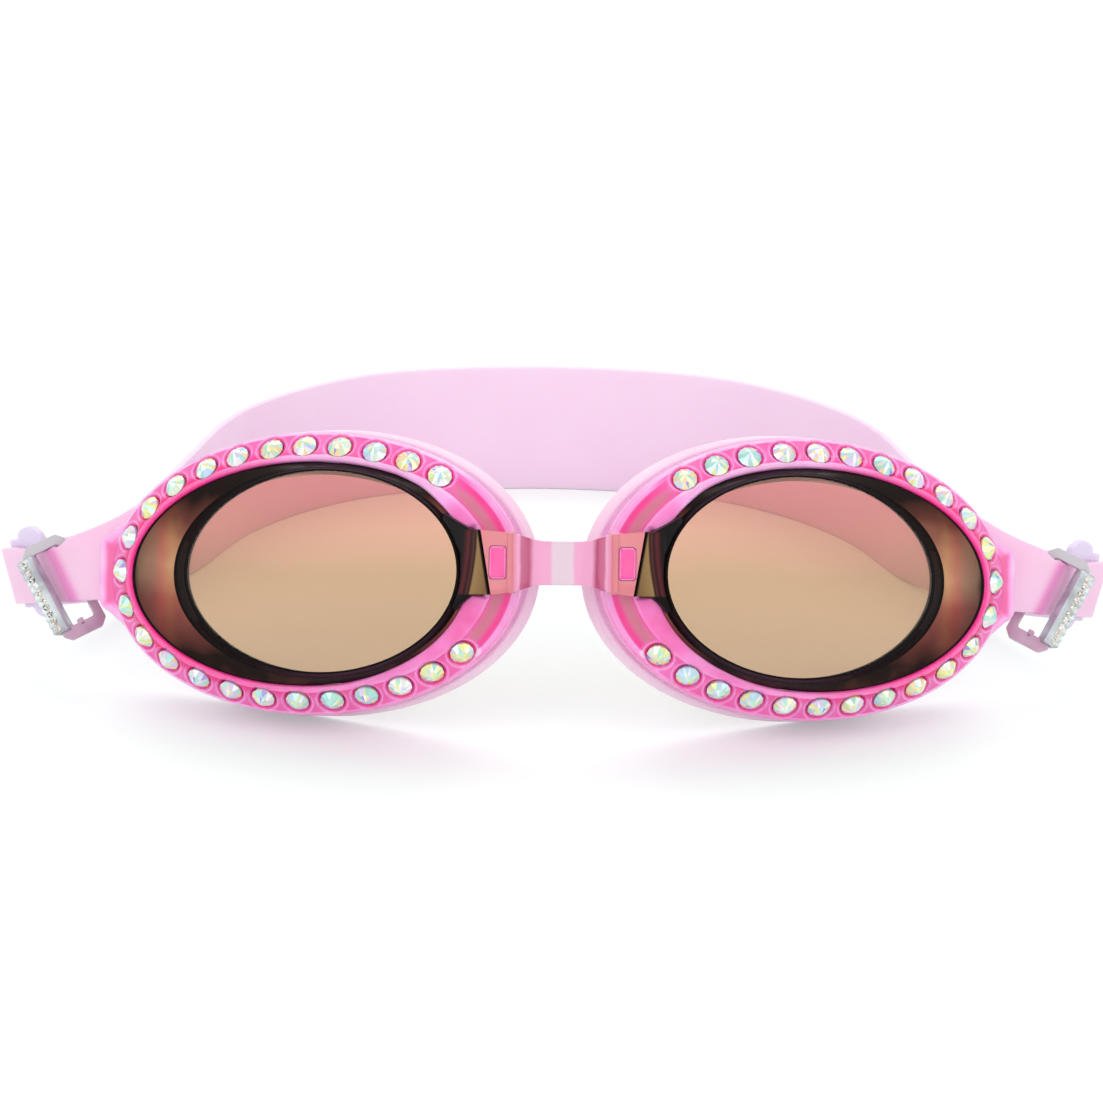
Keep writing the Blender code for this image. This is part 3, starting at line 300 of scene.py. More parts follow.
class Eye:
    """Coordinates of one eye cup, from the frame's lens mount and the bridge joint's axis."""

    def __init__(self, label, side):
        mount = MOUNTS[f"lens_face_{label}"]
        self.label = label
        self.side = side
        self.body = f"{label}_eye"
        self.out = Vector(mount["axis"]).normalized()
        hinge = Vector(JOINTS["bridge_flex"]["axis"])
        self.up = (hinge - self.out * hinge.dot(self.out)).normalized()
        self.temple = self.up.cross(self.out) * side
        face = Vector(mount["pos_m"])
        self.centre = face + self.temple * FACE_TO_NOSE - self.up * FACE_UP - self.out * FACE_RISE

    def point(self, u, v, w):
        return self.centre + self.direction((u, v, w))

    def direction(self, uvw):
        return self.temple * uvw[0] + self.up * uvw[1] + self.out * uvw[2]

    def coordinates(self, place):
        offset = place - self.centre
        return offset.dot(self.temple), offset.dot(self.up), offset.dot(self.out)


class Oval:
    """A canted oval in an eye cup's (u, v)."""

    def __init__(self, width, height, u=0.0, v=0.0):
        self.half_width, self.half_height = width / 2, height / 2
        self.centre = (u, v)

    def point(self, angle, grow=0.0):
        across = self.half_height * cos(angle)
        up = self.half_width * sin(angle)
        length = hypot(across, up)
        u = self.half_width * cos(angle) + grow * across / length
        v = self.half_height * sin(angle) + grow * up / length
        return (
            self.centre[0] + u * cos(CANT) + v * sin(CANT),
            self.centre[1] - u * sin(CANT) + v * cos(CANT),
        )

    def ring(self, eye, grow, depth, steps=LENS_STEPS):
        return [eye.point(*self.point(angle, grow), depth) for angle in turns(steps)]

    def outside(self, u, v):
        """(angle, how far outside the oval) of a point in the eye cup's (u, v)."""
        away_u, away_v = u - self.centre[0], v - self.centre[1]
        x = away_u * cos(CANT) - away_v * sin(CANT)
        y = away_u * sin(CANT) + away_v * cos(CANT)
        a, b = self.half_width, self.half_height
        angle = atan2(y / b, x / a)
        for _ in range(3):
            along = Vector((-a * sin(angle), b * cos(angle)))
            off = Vector((x - a * cos(angle), y - b * sin(angle)))
            angle += off.dot(along) / along.length_squared
        off = Vector((x - a * cos(angle), y - b * sin(angle)))
        sign = 1 if off.x * cos(angle) + off.y * sin(angle) > 0 else -1
        return angle, sign * off.length


OPENING = Oval(OPENING_WIDTH, OPENING_HEIGHT)
FACE = Oval(FACE_WIDTH, FACE_HEIGHT, -FACE_TO_NOSE, FACE_UP)
STEP_FOOT = Oval(
    FACE_WIDTH + 2 * (STEP_TO_TEMPLE + STEP_FLARE),
    FACE_HEIGHT + 2 * STEP_FLARE,
    -FACE_TO_NOSE + STEP_TO_TEMPLE,
    FACE_UP / 2,
)


# ---- materials


class Nodes:
    """The nodes of a material or of the world. An input is a plain value or another's output."""

    def __init__(self, owner):
        owner.use_nodes = True
        self.tree = owner.node_tree

    def fill(self, node, inputs):
        for name, value in inputs.items():
            socket = node.inputs[name]
            if isinstance(value, bpy.types.NodeSocket):
                self.tree.links.new(value, socket)
            elif isinstance(value, tuple) and len(value) < len(socket.default_value):
                socket.default_value = (*value, 1.0)
            else:
                socket.default_value = value

    def add(self, kind, inputs=None, **settings):
        node = self.tree.nodes.new("ShaderNode" + kind)
        for name, value in settings.items():
            setattr(node, name, value)
        self.fill(node, inputs or {})
        return node

    def maths(self, operation, first, second=0.0):
        return self.add("Math", {0: first, 1: second}, operation=operation).outputs[0]

    def seen_rays(self):
        """1 for the camera's own rays and those reflected or let through, and 0 for others."""
        rays = self.add("LightPath").outputs
        seen = self.maths("MAXIMUM", rays["Is Camera Ray"], rays["Is Glossy Ray"])
        return self.maths("MAXIMUM", seen, rays["Is Transmission Ray"])


class Look(Nodes):
    """A material. Its shader's inputs are named with _ for a space."""

    def __init__(self, name, **inputs):
        self.material = bpy.data.materials.new(name)
        super().__init__(self.material)
        self.shader = self.tree.nodes["Principled BSDF"]
        self.fill(self.shader, {name.replace("_", " "): value for name, value in inputs.items()})

    def noise(self, scale, detail=2.0):
        """Noise in object coordinates, with scale in cycles per metre."""
        place = self.add("TexCoord").outputs["Object"]
        return self.add("TexNoise", {"Vector": place, "Scale": scale, "Detail": detail}).outputs["Fac"]

    def uneven(self, source, scale, amount):
        """source with noise of this scale and amount added."""
        cloud = self.maths("SUBTRACT", self.noise(scale), 0.5)
        return self.maths("ADD", source, self.maths("MULTIPLY", cloud, amount))

    def span(self, source, low, high):
        """0 to 1 as source goes from low to high."""
        return self.add("MapRange", {"Value": source, "From Min": low, "From Max": high}).outputs[0]

    def attribute(self, name, output="Fac"):
        return self.add("Attribute", attribute_name=name).outputs[output]

    def along(self, axis, vector=None):
        """The (u, v, w) of the mesh's place attribute in millimetres, or a vector, along an axis."""
        vector = vector or self.attribute("place", "Vector")
        return self.add("SeparateXYZ", {"Vector": vector}).outputs[axis]

    def ramp(self, source, *stops):
        """A colour ramp on source. stops are (position, colour)."""
        node = self.add("ValToRGB", {"Fac": source})
        elements = node.color_ramp.elements
        while len(elements) < len(stops):
            elements.new(0.5)
        for element, (position, colour) in zip(elements, stops):
            element.position = position
            element.color = (*colour, 1.0)
        return node.outputs["Color"]

    def mix(self, share, first, second, blend="MIX"):
        inputs = {"Factor": share, 6: first, 7: second}
        return self.add("Mix", inputs, data_type="RGBA", blend_type=blend).outputs[2]

    def finish(self, colour, *grain):
        """The material in a colour. grain is its bumps' scale, detail, height and strength."""
        self.fill(self.shader, {"Base Color": colour})
        if grain:
            scale, detail, height, strength = grain
            bumps = {"Height": self.noise(scale, detail), "Distance": height, "Strength": strength}
            self.fill(self.shader, {"Normal": self.add("Bump", bumps).outputs["Normal"]})
        return self.material


def lens_face_material():
    """Tinted clear plastic, a little redder at its top."""
    look = Look(
        "lens face", Transmission_Weight=1.0, Roughness=0.02, IOR=1.45, Specular_Tint=(1.0, 0.78, 0.66)
    )
    height = look.uneven(look.span(look.along("Y"), -14.0, 14.0), 40.0, 0.15)
    colour = look.ramp(
        height, (0.0, (0.53, 0.37, 0.235)), (0.5, (0.51, 0.335, 0.195)),
        (0.75, (0.64, 0.35, 0.245)), (1.0, (0.7, 0.345, 0.275))
    )
    return look.finish(colour, 60.0, 1.0, 0.02 * MM, 0.1)


def black_material():
    look = Look("black step", Roughness=0.3, IOR=1.45, Specular_IOR_Level=0.07)
    speck = look.noise(2500.0)
    return look.finish(
        look.ramp(speck, (0.4, (0.002, 0.0015, 0.0015)), (0.62, (0.007, 0.004, 0.0035)))
    )


def smoky_material():
    """The lens wall: smoky plastic that light passes through, maroon below and darker towards its top, bottom and
    outer edge, with a painted gold highlight across its middle and near the step.
    """
    look = Look(
        "smoky wall", Transmission_Weight=0.12, Roughness=0.2, IOR=1.45, Specular_IOR_Level=0.12,
        Specular_Tint=(1.0, 0.8, 0.65)
    )
    # Painted highlight: the gold middle of this ramp stands for light on the wall at mid-height.
    down = look.ramp(
        look.uneven(look.span(look.along("Y"), -13.0, 13.0), 150.0, 0.22),
        (0.0, (0.006, 0.002, 0.002)), (0.11, (0.13, 0.04, 0.035)), (0.33, (0.34, 0.115, 0.095)),
        (0.52, (0.56, 0.33, 0.22)), (0.7, (0.42, 0.21, 0.14)), (0.84, (0.14, 0.05, 0.038)),
        (0.96, (0.006, 0.003, 0.003))
    )
    # Painted highlight: the bright gold stop near the step stands for light caught on the wall there.
    across = look.ramp(
        look.uneven(look.span(look.along("X"), 20.0, 28.5), 200.0, 0.2),
        (0.0, (1.0, 0.8, 0.8)), (0.22, (1.14, 1.04, 0.78)), (0.42, (1.0, 0.62, 0.64)),
        (0.6, (0.62, 0.55, 0.55)), (0.88, (0.4, 0.38, 0.38)), (1.0, (0.03, 0.03, 0.03))
    )
    return look.finish(look.mix(1.0, down, across, "MULTIPLY"))


def lug_material():
    """The lens's lug beside the nose: maroon bands that follow the face, a tan wedge, a black end."""
    look = Look("lens lug", Roughness=0.25, IOR=1.5, Specular_IOR_Level=0.1)
    u, v = look.along("X"), look.along("Y")
    down = look.maths("SUBTRACT", 7.1, v)
    bow = look.maths("MULTIPLY", look.maths("MULTIPLY", down, down), 0.012)
    from_face = look.span(look.maths("SUBTRACT", u, bow), -30.2, -25.3)
    bands = look.ramp(
        look.uneven(from_face, 300.0, 0.04),
        (0.0, (0.2, 0.11, 0.045)), (0.44, (0.3, 0.18, 0.075)), (0.5, (0.015, 0.005, 0.004)),
        (0.56, (0.085, 0.022, 0.02)), (0.64, (0.02, 0.004, 0.005)), (0.74, (0.1, 0.012, 0.018)),
        (0.84, (0.03, 0.004, 0.006)), (0.92, (0.004, 0.001, 0.001)), (1.0, (0.002, 0.001, 0.001))
    )
    aslant = look.maths("SUBTRACT", u, look.maths("MULTIPLY", v, PLATE_SLANT))
    end = look.span(aslant, -(PLATE_START + PLATE_SLANT * BRIDGE_UP) / MM + 0.55, -29.0)
    off_middle = look.maths("ABSOLUTE", look.maths("SUBTRACT", v, BRIDGE_UP / MM))
    dark = look.maths("MAXIMUM", look.maths("SUBTRACT", 1.0, end), look.span(off_middle, 4.75, 5.0))
    return look.finish(look.mix(dark, bands, (0.004, 0.002, 0.002)))


def tan_material():
    look = Look("lens tongue", Roughness=0.12, IOR=1.5)
    cloud = look.noise(200.0, 1.0)
    return look.finish(look.ramp(cloud, (0.4, (0.62, 0.34, 0.24)), (0.6, (0.74, 0.46, 0.34))))


def bezel_material():
    """Clear pink plastic. The mesh's tint attribute says how deep it is and also holds painted highlights and
    shade; smoke says how smoky it is and also holds a painted shade line along a groove.
    """
    look = Look(
        "pink plastic", Roughness=0.08, IOR=1.45, Transmission_Weight=0.05, Subsurface_Weight=0.25,
        Subsurface_Radius=(1.0, 0.35, 0.65), Subsurface_Scale=0.5 * MM,
        Coat_Weight=0.2, Coat_Roughness=0.03
    )
    colour = look.ramp(
        look.uneven(look.attribute("tint_and_painted_light"), 260.0, 0.26),
        (0.0, (1.0, 0.64, 0.84)), (0.16, (1.0, 0.42, 0.82)), (0.36, (0.99, 0.2, 0.57)),
        (0.5, (0.89, 0.11, 0.4)), (0.66, (0.93, 0.06, 0.37)), (0.85, (0.96, 0.012, 0.26)),
        (1.0, (0.9, 0.008, 0.19))
    )
    smoke_and_painted_shade = look.uneven(look.attribute("smoke_and_painted_shade"), 400.0, 0.15)
    return look.finish(look.mix(smoke_and_painted_shade, colour, (0.56, 0.2, 0.21)), 900.0, 2.0, 0.01 * MM, 0.25)


def silicone_material(name, pale, deep, second, scale):
    """Soft frosted silicone. The mesh's pigment attribute turns it to the second colour; on the side arm it also
    paints shade at the fold.
    """
    look = Look(
        name, Roughness=0.42, IOR=1.4, Subsurface_Weight=0.45, Subsurface_Radius=(1.0, 0.6, 0.85),
        Subsurface_Scale=1.5 * MM, Sheen_Weight=0.05, Sheen_Roughness=0.4
    )
    colour = look.ramp(look.noise(scale), (0.35, deep), (0.62, pale))
    colour = look.mix(look.attribute("pigment_and_painted_shade"), colour, second)
    return look.finish(colour, 2200.0, 3.0, 0.012 * MM, 0.2)


def bridge_material():
    """Clear soft plastic: salmon plates, a mauve band behind each rib that is partly painted shade, and a pale
    middle.
    """
    look = Look("bridge plastic", Transmission_Weight=0.3, Roughness=0.07, IOR=1.42)
    x = look.along("X", look.add("TexCoord").outputs["Object"])
    from_middle = look.maths("MULTIPLY", look.maths("ABSOLUTE", x), 1 / MM)
    # Painted shade: the dark mauve stops behind each rib stand partly for the shade there.
    colour = look.ramp(
        look.uneven(look.span(from_middle, 0.0, 12.5), 300.0, 0.03),
        (0.0, (0.88, 0.7, 0.8)), (0.115, (0.9, 0.71, 0.82)), (0.15, (0.98, 0.47, 0.72)),
        (0.35, (0.98, 0.47, 0.7)), (0.41, (0.56, 0.075, 0.2)), (0.5, (0.66, 0.13, 0.3)),
        (0.53, (1.0, 0.5, 0.72)), (0.57, (1.0, 0.38, 0.62)), (0.6, (0.94, 0.3, 0.35)),
        (1.0, (0.9, 0.27, 0.3))
    )
    return look.finish(colour, 500.0, 2.0, 0.012 * MM, 0.2)


def crystal_material():
    """Coated crystal. Each facet carries its own colour of the coating."""
    look = Look("crystal", Metallic=0.3, Roughness=0.08, IOR=1.5, Coat_Weight=0.15, Coat_Roughness=0.02)
    return look.finish(look.attribute("facet", "Color"))


def ring_material():
    """Mauve plastic, greyer where the mesh's tint attribute says so."""
    look = Look("mauve plastic", Roughness=0.3, IOR=1.5)
    colour = look.ramp(look.noise(160.0), (0.38, (0.5, 0.28, 0.41)), (0.62, (0.62, 0.41, 0.53)))
    grey = look.uneven(look.attribute("tint_and_painted_light"), 500.0, 0.4)
    return look.finish(look.mix(grey, colour, (0.56, 0.53, 0.57)), 1800.0, 2.0, 0.015 * MM, 0.3)


def silver_material():
    """Satin silver paint with a cool, cloudy sheen."""
    look = Look("silver bar", Metallic=0.55, Roughness=0.34)
    cloud = look.noise(350.0, 3.0)
    colour = look.ramp(cloud, (0.36, (0.38, 0.4, 0.43)), (0.64, (0.58, 0.64, 0.66)))
    return look.finish(colour, 2600.0, 3.0, 0.02 * MM, 0.4)


# ---- lens


FACE_SLOT, STEP_SLOT, WALL_SLOT, LUG_SLOT, TONGUE_SLOT = range(5)


def face_ring(eye, depth):
    """The edge of the clear face, inside its black rim, which is wider at the temple."""
    ring = []
    for angle in turns(LENS_STEPS):
        rim = FACE_RIM + FACE_RIM_TEMPLE * smooth(cos(angle))
        ring.append(eye.point(*FACE.point(angle, -rim), depth))
    return ring


def lens_rings(eye):
    """(ring, material of the band before it), from the middle of the face out over the step and
    wall, round the back and in again."""
    foot = FACE_RISE - STEP_HEIGHT
    inside = -CLEARANCE - LENS_WALL
    rings = [(face_ring(eye, FACE_RISE), None)]
    for x, y in arc((-FACE_EDGE, FACE_RISE - FACE_EDGE), FACE_EDGE, pi / 2, 0, 4):
        rings.append((FACE.ring(eye, x, y), STEP_SLOT))
    near = STEP_FOOT.ring(eye, 0.0, foot)
    far = OPENING.ring(eye, -LENS_GAP, LENS_EDGE_RISE)
    for share, slot in ((0, STEP_SLOT), (0.06, STEP_SLOT), (0.5, WALL_SLOT), (0.94, WALL_SLOT)):
        rings.append(([a.lerp(b, share) for a, b in zip(near, far)], slot))
    for oval, grow, depth, slot in (
        (OPENING, -LENS_GAP, LENS_EDGE_RISE, STEP_SLOT),
        (OPENING, -LENS_GAP, -LENS_BAND_DEPTH, STEP_SLOT),
        (OPENING, -LENS_GAP, -LENS_DEPTH, STEP_SLOT),
        (OPENING, inside, -LENS_DEPTH, WALL_SLOT),
        (OPENING, inside, -LENS_WALL / 2, WALL_SLOT),
        (STEP_FOOT, -LENS_WALL / 2, foot - LENS_WALL / 2, STEP_SLOT),
    ):
        rings.append((oval.ring(eye, grow, depth), slot))
    rings.append((face_ring(eye, FACE_RISE - LENS_WALL * 0.75), STEP_SLOT))
    return rings


def slab(builder, eye, outline, low, high, rounding, slot=0, inner=()):
    """A slab with a (u, v) outline and rounded front edges, between two depths. inner are the insets
    of more rings on its front."""
    middle = sum((Vector(point) for point in outline), Vector((0.0, 0.0))) / len(outline)
    profile = [(0.0, low), *arc((rounding, high - rounding), rounding, pi, pi / 2, 4)]
    rings = []
    for inset, depth in profile + [(inset, high) for inset in inner]:
        ring = []
        for point in outline:
            away = Vector(point) - middle
            shrink = max(1 - inset / max(away.length, rounding), 0.0)
            ring.append(eye.point(*(middle + away * shrink), depth))
        rings.append(ring)
    add_rings(builder, rings, [slot] * (len(rings) - 1), caps=(slot, slot))


def bezier(first, control, last):
    """Points along a quadratic curve, its first point left out."""
    points = []
    for t in shares(8)[1:]:
        weights = ((1 - t) ** 2, 2 * t * (1 - t), t**2)
        corners = zip(weights, (first, control, last))
        points.append(sum((Vector(corner) * weight for weight, corner in corners), Vector((0.0, 0.0))))
    return points


def lens_lug_outline():
    """The lug's (u, v) outline: it grows out of the black rim in two curved ears."""
    end = -PLATE_START + CLEARANCE
    top, bottom = BRIDGE_UP + PLATE_HEIGHT / 2, BRIDGE_UP - PLATE_HEIGHT / 2
    slant = PLATE_SLANT * PLATE_HEIGHT / 2
    under = FACE.point(EAR_BOTTOM + 0.03, 0.5 * MM)
    over = FACE.point(EAR_TOP - 0.03, 0.8 * MM)
    return [
        *(FACE.point(EAR_TOP + (EAR_BOTTOM - EAR_TOP) * share, -0.3 * MM) for share in shares(12)),
        *bezier(under, (EAR_BOTTOM_BEND, bottom - EAR_BOTTOM_DROP), (EAR_BOTTOM_END, bottom)),
        (end - slant, bottom),
        (end + slant, top),
        (EAR_TOP_END, top),
        *bezier((EAR_TOP_END, top), (EAR_TOP_BEND, top + EAR_TOP_RISE), over),
    ]


def make_lens(eye, materials):
    builder = bmesh.new()
    rings = lens_rings(eye)
    bands = [slot for _, slot in rings[1:]]
    add_rings(builder, [ring for ring, _ in rings], bands, caps=(FACE_SLOT, FACE_SLOT))
    top = TONGUE_BOTTOM + LENS_LUG_THICKNESS
    slab(builder, eye, lens_lug_outline(), TONGUE_BOTTOM, top, 0.3 * MM, LUG_SLOT)
    low, high = (BRIDGE_UP + sign * (PLATE_HEIGHT / 2 - CLEARANCE) for sign in (-1, 1))
    near, far = -PLATE_START, -TONGUE_REACH
    tongue = [(far, low), (far, high), (near + TONGUE_ROOT_HIGH, high), (near + TONGUE_ROOT_LOW, low)]
    tongue_top = TONGUE_BOTTOM + TONGUE_THICKNESS
    slab(builder, eye, tongue, TONGUE_BOTTOM, tongue_top, 0.15 * MM, TONGUE_SLOT)
    mesh = finish_mesh(builder, "lens", sharp=32)
    for polygon in mesh.polygons:
        if polygon.material_index == FACE_SLOT:
            polygon.use_smooth = False
    places = [Vector(eye.coordinates(vert.co)) / MM for vert in mesh.vertices]
    put_values(mesh, "place", "FLOAT_VECTOR", "vector", places)
    lens = add_object(f"lens_shell_{eye.label}", mesh, *materials)
    ride(lens, eye.body, "lens", f"lens_{eye.label}")


# ---- stones and bezel


def stone_place(node):
    """(centre of the flat back, axis) of a stone of the frame: its back is its largest flat."""
    flats = {}
    for face in frame["nodes"][node].data.polygons:
        key = tuple(round(x, 2) for x in face.normal)
        area, middle, normal = flats.get(key, (0.0, Vector(), Vector()))
        flats[key] = (
            area + face.area, middle + face.center * face.area, normal + face.normal * face.area
        )
    area, middle, normal = max(flats.values(), key=lambda flat: flat[0])
    return middle / area, -normal.normalized()


def stone_nodes(label):
    return sorted(node for node in frame["nodes"] if node.startswith(f"stone_{label}"))


STONE_WEIGHTS = (5, 5, 5, 2, 3, 1.5, 3.5, 0.9)
STONE_COLOURS = (
    (0.72, 0.86, 0.66), (0.46, 0.8, 0.72), (0.86, 0.88, 0.36), (0.92, 0.72, 0.42),
    (0.55, 0.76, 0.93), (0.78, 0.66, 0.92), (0.92, 0.94, 0.92), (0.4, 0.34, 0.82),
)
LEVER_STONE_COLOURS = (
    (0.78, 0.74, 0.62), (0.6, 0.58, 0.5), (0.86, 0.84, 0.8), (0.1, 0.1, 0.09),
    (0.45, 0.43, 0.36), (0.75, 0.66, 0.45), (0.9, 0.9, 0.9), (0.03, 0.03, 0.03),
)


def add_stone(builder, colours, place, axis, radius, height, facets, chance, palette):
    """A pointed crystal: a girdle, a tier of triangles that stand both ways, and its point."""
    turn = axis.to_track_quat("Z", "Y").to_matrix().to_4x4()
    matrix = Matrix.Translation(place) @ turn @ Matrix.Rotation(chance.uniform(0, 2 * pi), 4, "Z")
    rings = []
    for size, level, shift in ((0.96, 0, 0), (1, 0.22, 0), (1, 0.3, 0), (0.52, 0.7, 0.5)):
        ring = []
        for angle in turns(facets, shift):
            spot = Vector((size * cos(angle) * radius, size * sin(angle) * radius, level * height))
            ring.append(builder.verts.new(matrix @ spot))
        rings.append(ring)
    base, girdle, crown, tier = rings
    tip = builder.verts.new(matrix @ Vector((0, 0, height)))
    faces = [builder.faces.new(base[::-1])]
    faces += join_rings(builder, base, girdle) + join_rings(builder, girdle, crown)
    lead = chance.randrange(7)
    for index in range(facets):
        after = (index + 1) % facets
        for corners in (
            (crown[index], crown[after], tier[index]),
            (tier[index], crown[after], tier[after]),
            (tier[index], tier[after], tip),
        ):
            faces.append(builder.faces.new(corners))
    for face in faces:
        colour = palette[lead]
        if chance.random() >= 0.35:
            colour = chance.choices(palette, STONE_WEIGHTS)[0]
        shade = chance.uniform(0.86, 1.05)
        for loop in face.loops:
            loop[colours] = (*(min(c * shade, 1.0) for c in colour), 1.0)


def add_stones(name, spots, material, *shape):
    """One piece with a stone at each (place, axis), all of one shape."""
    builder = bmesh.new()
    colours = builder.loops.layers.float_color.new("facet")
    for place, axis in spots:
        add_stone(builder, colours, place, axis, *shape)
    mesh = bpy.data.meshes.new(name)
    builder.to_mesh(mesh)
    builder.free()
    return add_object(name, mesh, material)


def make_stones(eye, seats, material):
    spots = [(place, (axis - eye.up * STONE_TILT).normalized()) for place, axis in seats]
    shape = (STONE_RADIUS, STONE_HEIGHT, 12, random.Random(7 + eye.side), STONE_COLOURS)
    stones = add_stones(f"stones_{eye.label}", spots, material, *shape)
    ride(stones, eye.body, "stone", *stone_nodes(eye.label))


def bezel_section():
    """(distance out from the opening, depth) along the bezel's section, from inside to back."""
    section = [(0.0, INNER_WALL_BOTTOM), (0.0, INNER_WALL_TOP)]
    inner, outer = LIP_INNER_ROUND, LIP_OUTER_ROUND
    section += arc((inner, LIP_RISE - inner), inner, pi, pi / 2, 6)
    section += arc((LIP_CREST - outer, LIP_RISE - outer), outer, pi / 2, radians(8), 6)
    slope = tan(CHAMFER_SLOPE)
    first, last = LIP_CREST + 0.04 * MM, LIP_WIDTH + CHAMFER_WIDTH
    for share in shares(18):
        grow = first + (last - first) * share
        section.append((grow, LIP_RISE - (grow - LIP_WIDTH) * slope))
    foot, rim = LIP_RISE - CHAMFER_WIDTH * slope, last - 0.05 * MM
    section += arc((rim, foot - RIM_ROUND), RIM_ROUND, radians(60), 0, 4)[1:]
    section += [(rim + RIM_ROUND, -BEZEL_DEPTH + RIM_ROUND), (rim, -BEZEL_DEPTH), (0.0, -BEZEL_DEPTH)]
    return section


def scallop(distance):
    """How deep the chamfer is cut at a distance from the nearest stone's axis."""
    seat = 1 - smooth((distance - SEAT_RADIUS) / (0.16 * MM))
    hollow = 1 - smooth((distance - SCALLOP_RADIUS + 0.15 * MM) / (0.25 * MM))
    rim = smooth((distance - SEAT_RADIUS - 0.1 * MM) / (0.15 * MM)) * hollow
    return SCALLOP_DEPTH * hollow + (SEAT_DEPTH - SCALLOP_DEPTH) * seat - 0.12 * MM * rim


def nearest_seat(place, seats):
    """(axis, distance from that axis) of the stone seat nearest to a place."""
    spot, axis = min(seats, key=lambda seat: (seat[0] - place).length_squared)
    offset = place - spot
    return axis, (offset - axis * offset.dot(axis)).length


def nose_lip(angle):
    """(how far the lip reaches over the lens, how far it and its inner wall rise) at an angle round
    the opening: beside the nose it comes close to the black rim, but not at the lens's lug."""
    u, v = OPENING.point(angle)
    gap = FACE.outside(u, v)[1]
    share = smooth((-cos(angle) - 0.15) / 0.35)
    share *= smooth((abs(v - BRIDGE_UP) - PLATE_HEIGHT / 2 - 0.1 * MM) / (0.8 * MM))
    reach = max(gap - NOSE_LIP_GAP, 0.0) * share
    rise = FACE_RISE - STEP_HEIGHT
    wall = LENS_EDGE_RISE + rise * max(reach - 0.3 * MM, 0.0) / (gap - 0.5 * MM)
    full = smooth(reach / (0.8 * MM))
    return reach, (wall + NOSE_LIP_LIFT) * full, NOSE_LIP_UNDER * full


def bezel_ring(eye, seats):
    lips = [(angle, *nose_lip(angle)) for angle in turns(BEZEL_STEPS)]
    rings = []
    for index, (grow, depth) in enumerate(bezel_section()):
        ring = OPENING.ring(eye, grow, depth, BEZEL_STEPS)
        if index == 1:
            ring = [point + eye.out * under for point, (*_, under) in zip(ring, lips)]
        elif grow < LIP_CREST and depth > -1.5 * MM:
            share = 1 - grow / LIP_CREST
            for step, (angle, reach, rise, _) in enumerate(lips):
                place = OPENING.point(angle, grow - reach * share)
                ring[step] = eye.point(*place, depth + rise * share)
        if LIP_WIDTH < grow < RIM_WIDTH + 0.1 * MM and depth >= -3.2 * MM:
            for step, point in enumerate(ring):
                axis, distance = nearest_seat(point, seats)
                if distance < SCALLOP_RADIUS + 0.3 * MM:
                    ring[step] = point - axis * scallop(distance)
        rings.append(ring)
    builder = bmesh.new()
    add_rings(builder, rings, close=True)
    return finish_mesh(builder, "bezel")


def lug_outline():
    """The (u, v) outline of the lug at the temple, which grows out of the bezel."""
    far = LUG_REACH - LUG_CORNER
    edges = [OPENING.point(sign * LUG_SPREAD, RIM_WIDTH - 0.6 * MM) for sign in (-1, 1)]
    return [
        *(OPENING.point(LUG_SPREAD * (1 - 2 * share), RIM_WIDTH / 2) for share in shares(16)),
        edges[0],
        *arc((far, LUG_LOW + LUG_CORNER), LUG_CORNER, radians(-70), 0, 8),
        *arc((far, LUG_HIGH - LUG_CORNER), LUG_CORNER, 0, radians(70), 8),
        edges[1],
    ]


def window_outline(grow):
    """(u, v) outline of the catch in the bridge's window, this much larger than the post."""
    x, y = (size / 2 + grow - CATCH_CORNER for size in (POST_WIDTH, POST_HEIGHT))
    outline = []
    for quarter, (across, up) in enumerate(((x, y), (-x, y), (-x, -y), (x, -y))):
        corner = (across - POST_FROM_CENTRE, up + BRIDGE_UP)
        outline += arc(corner, CATCH_CORNER, quarter * pi / 2, (quarter + 1) * pi / 2, 5)
    return outline


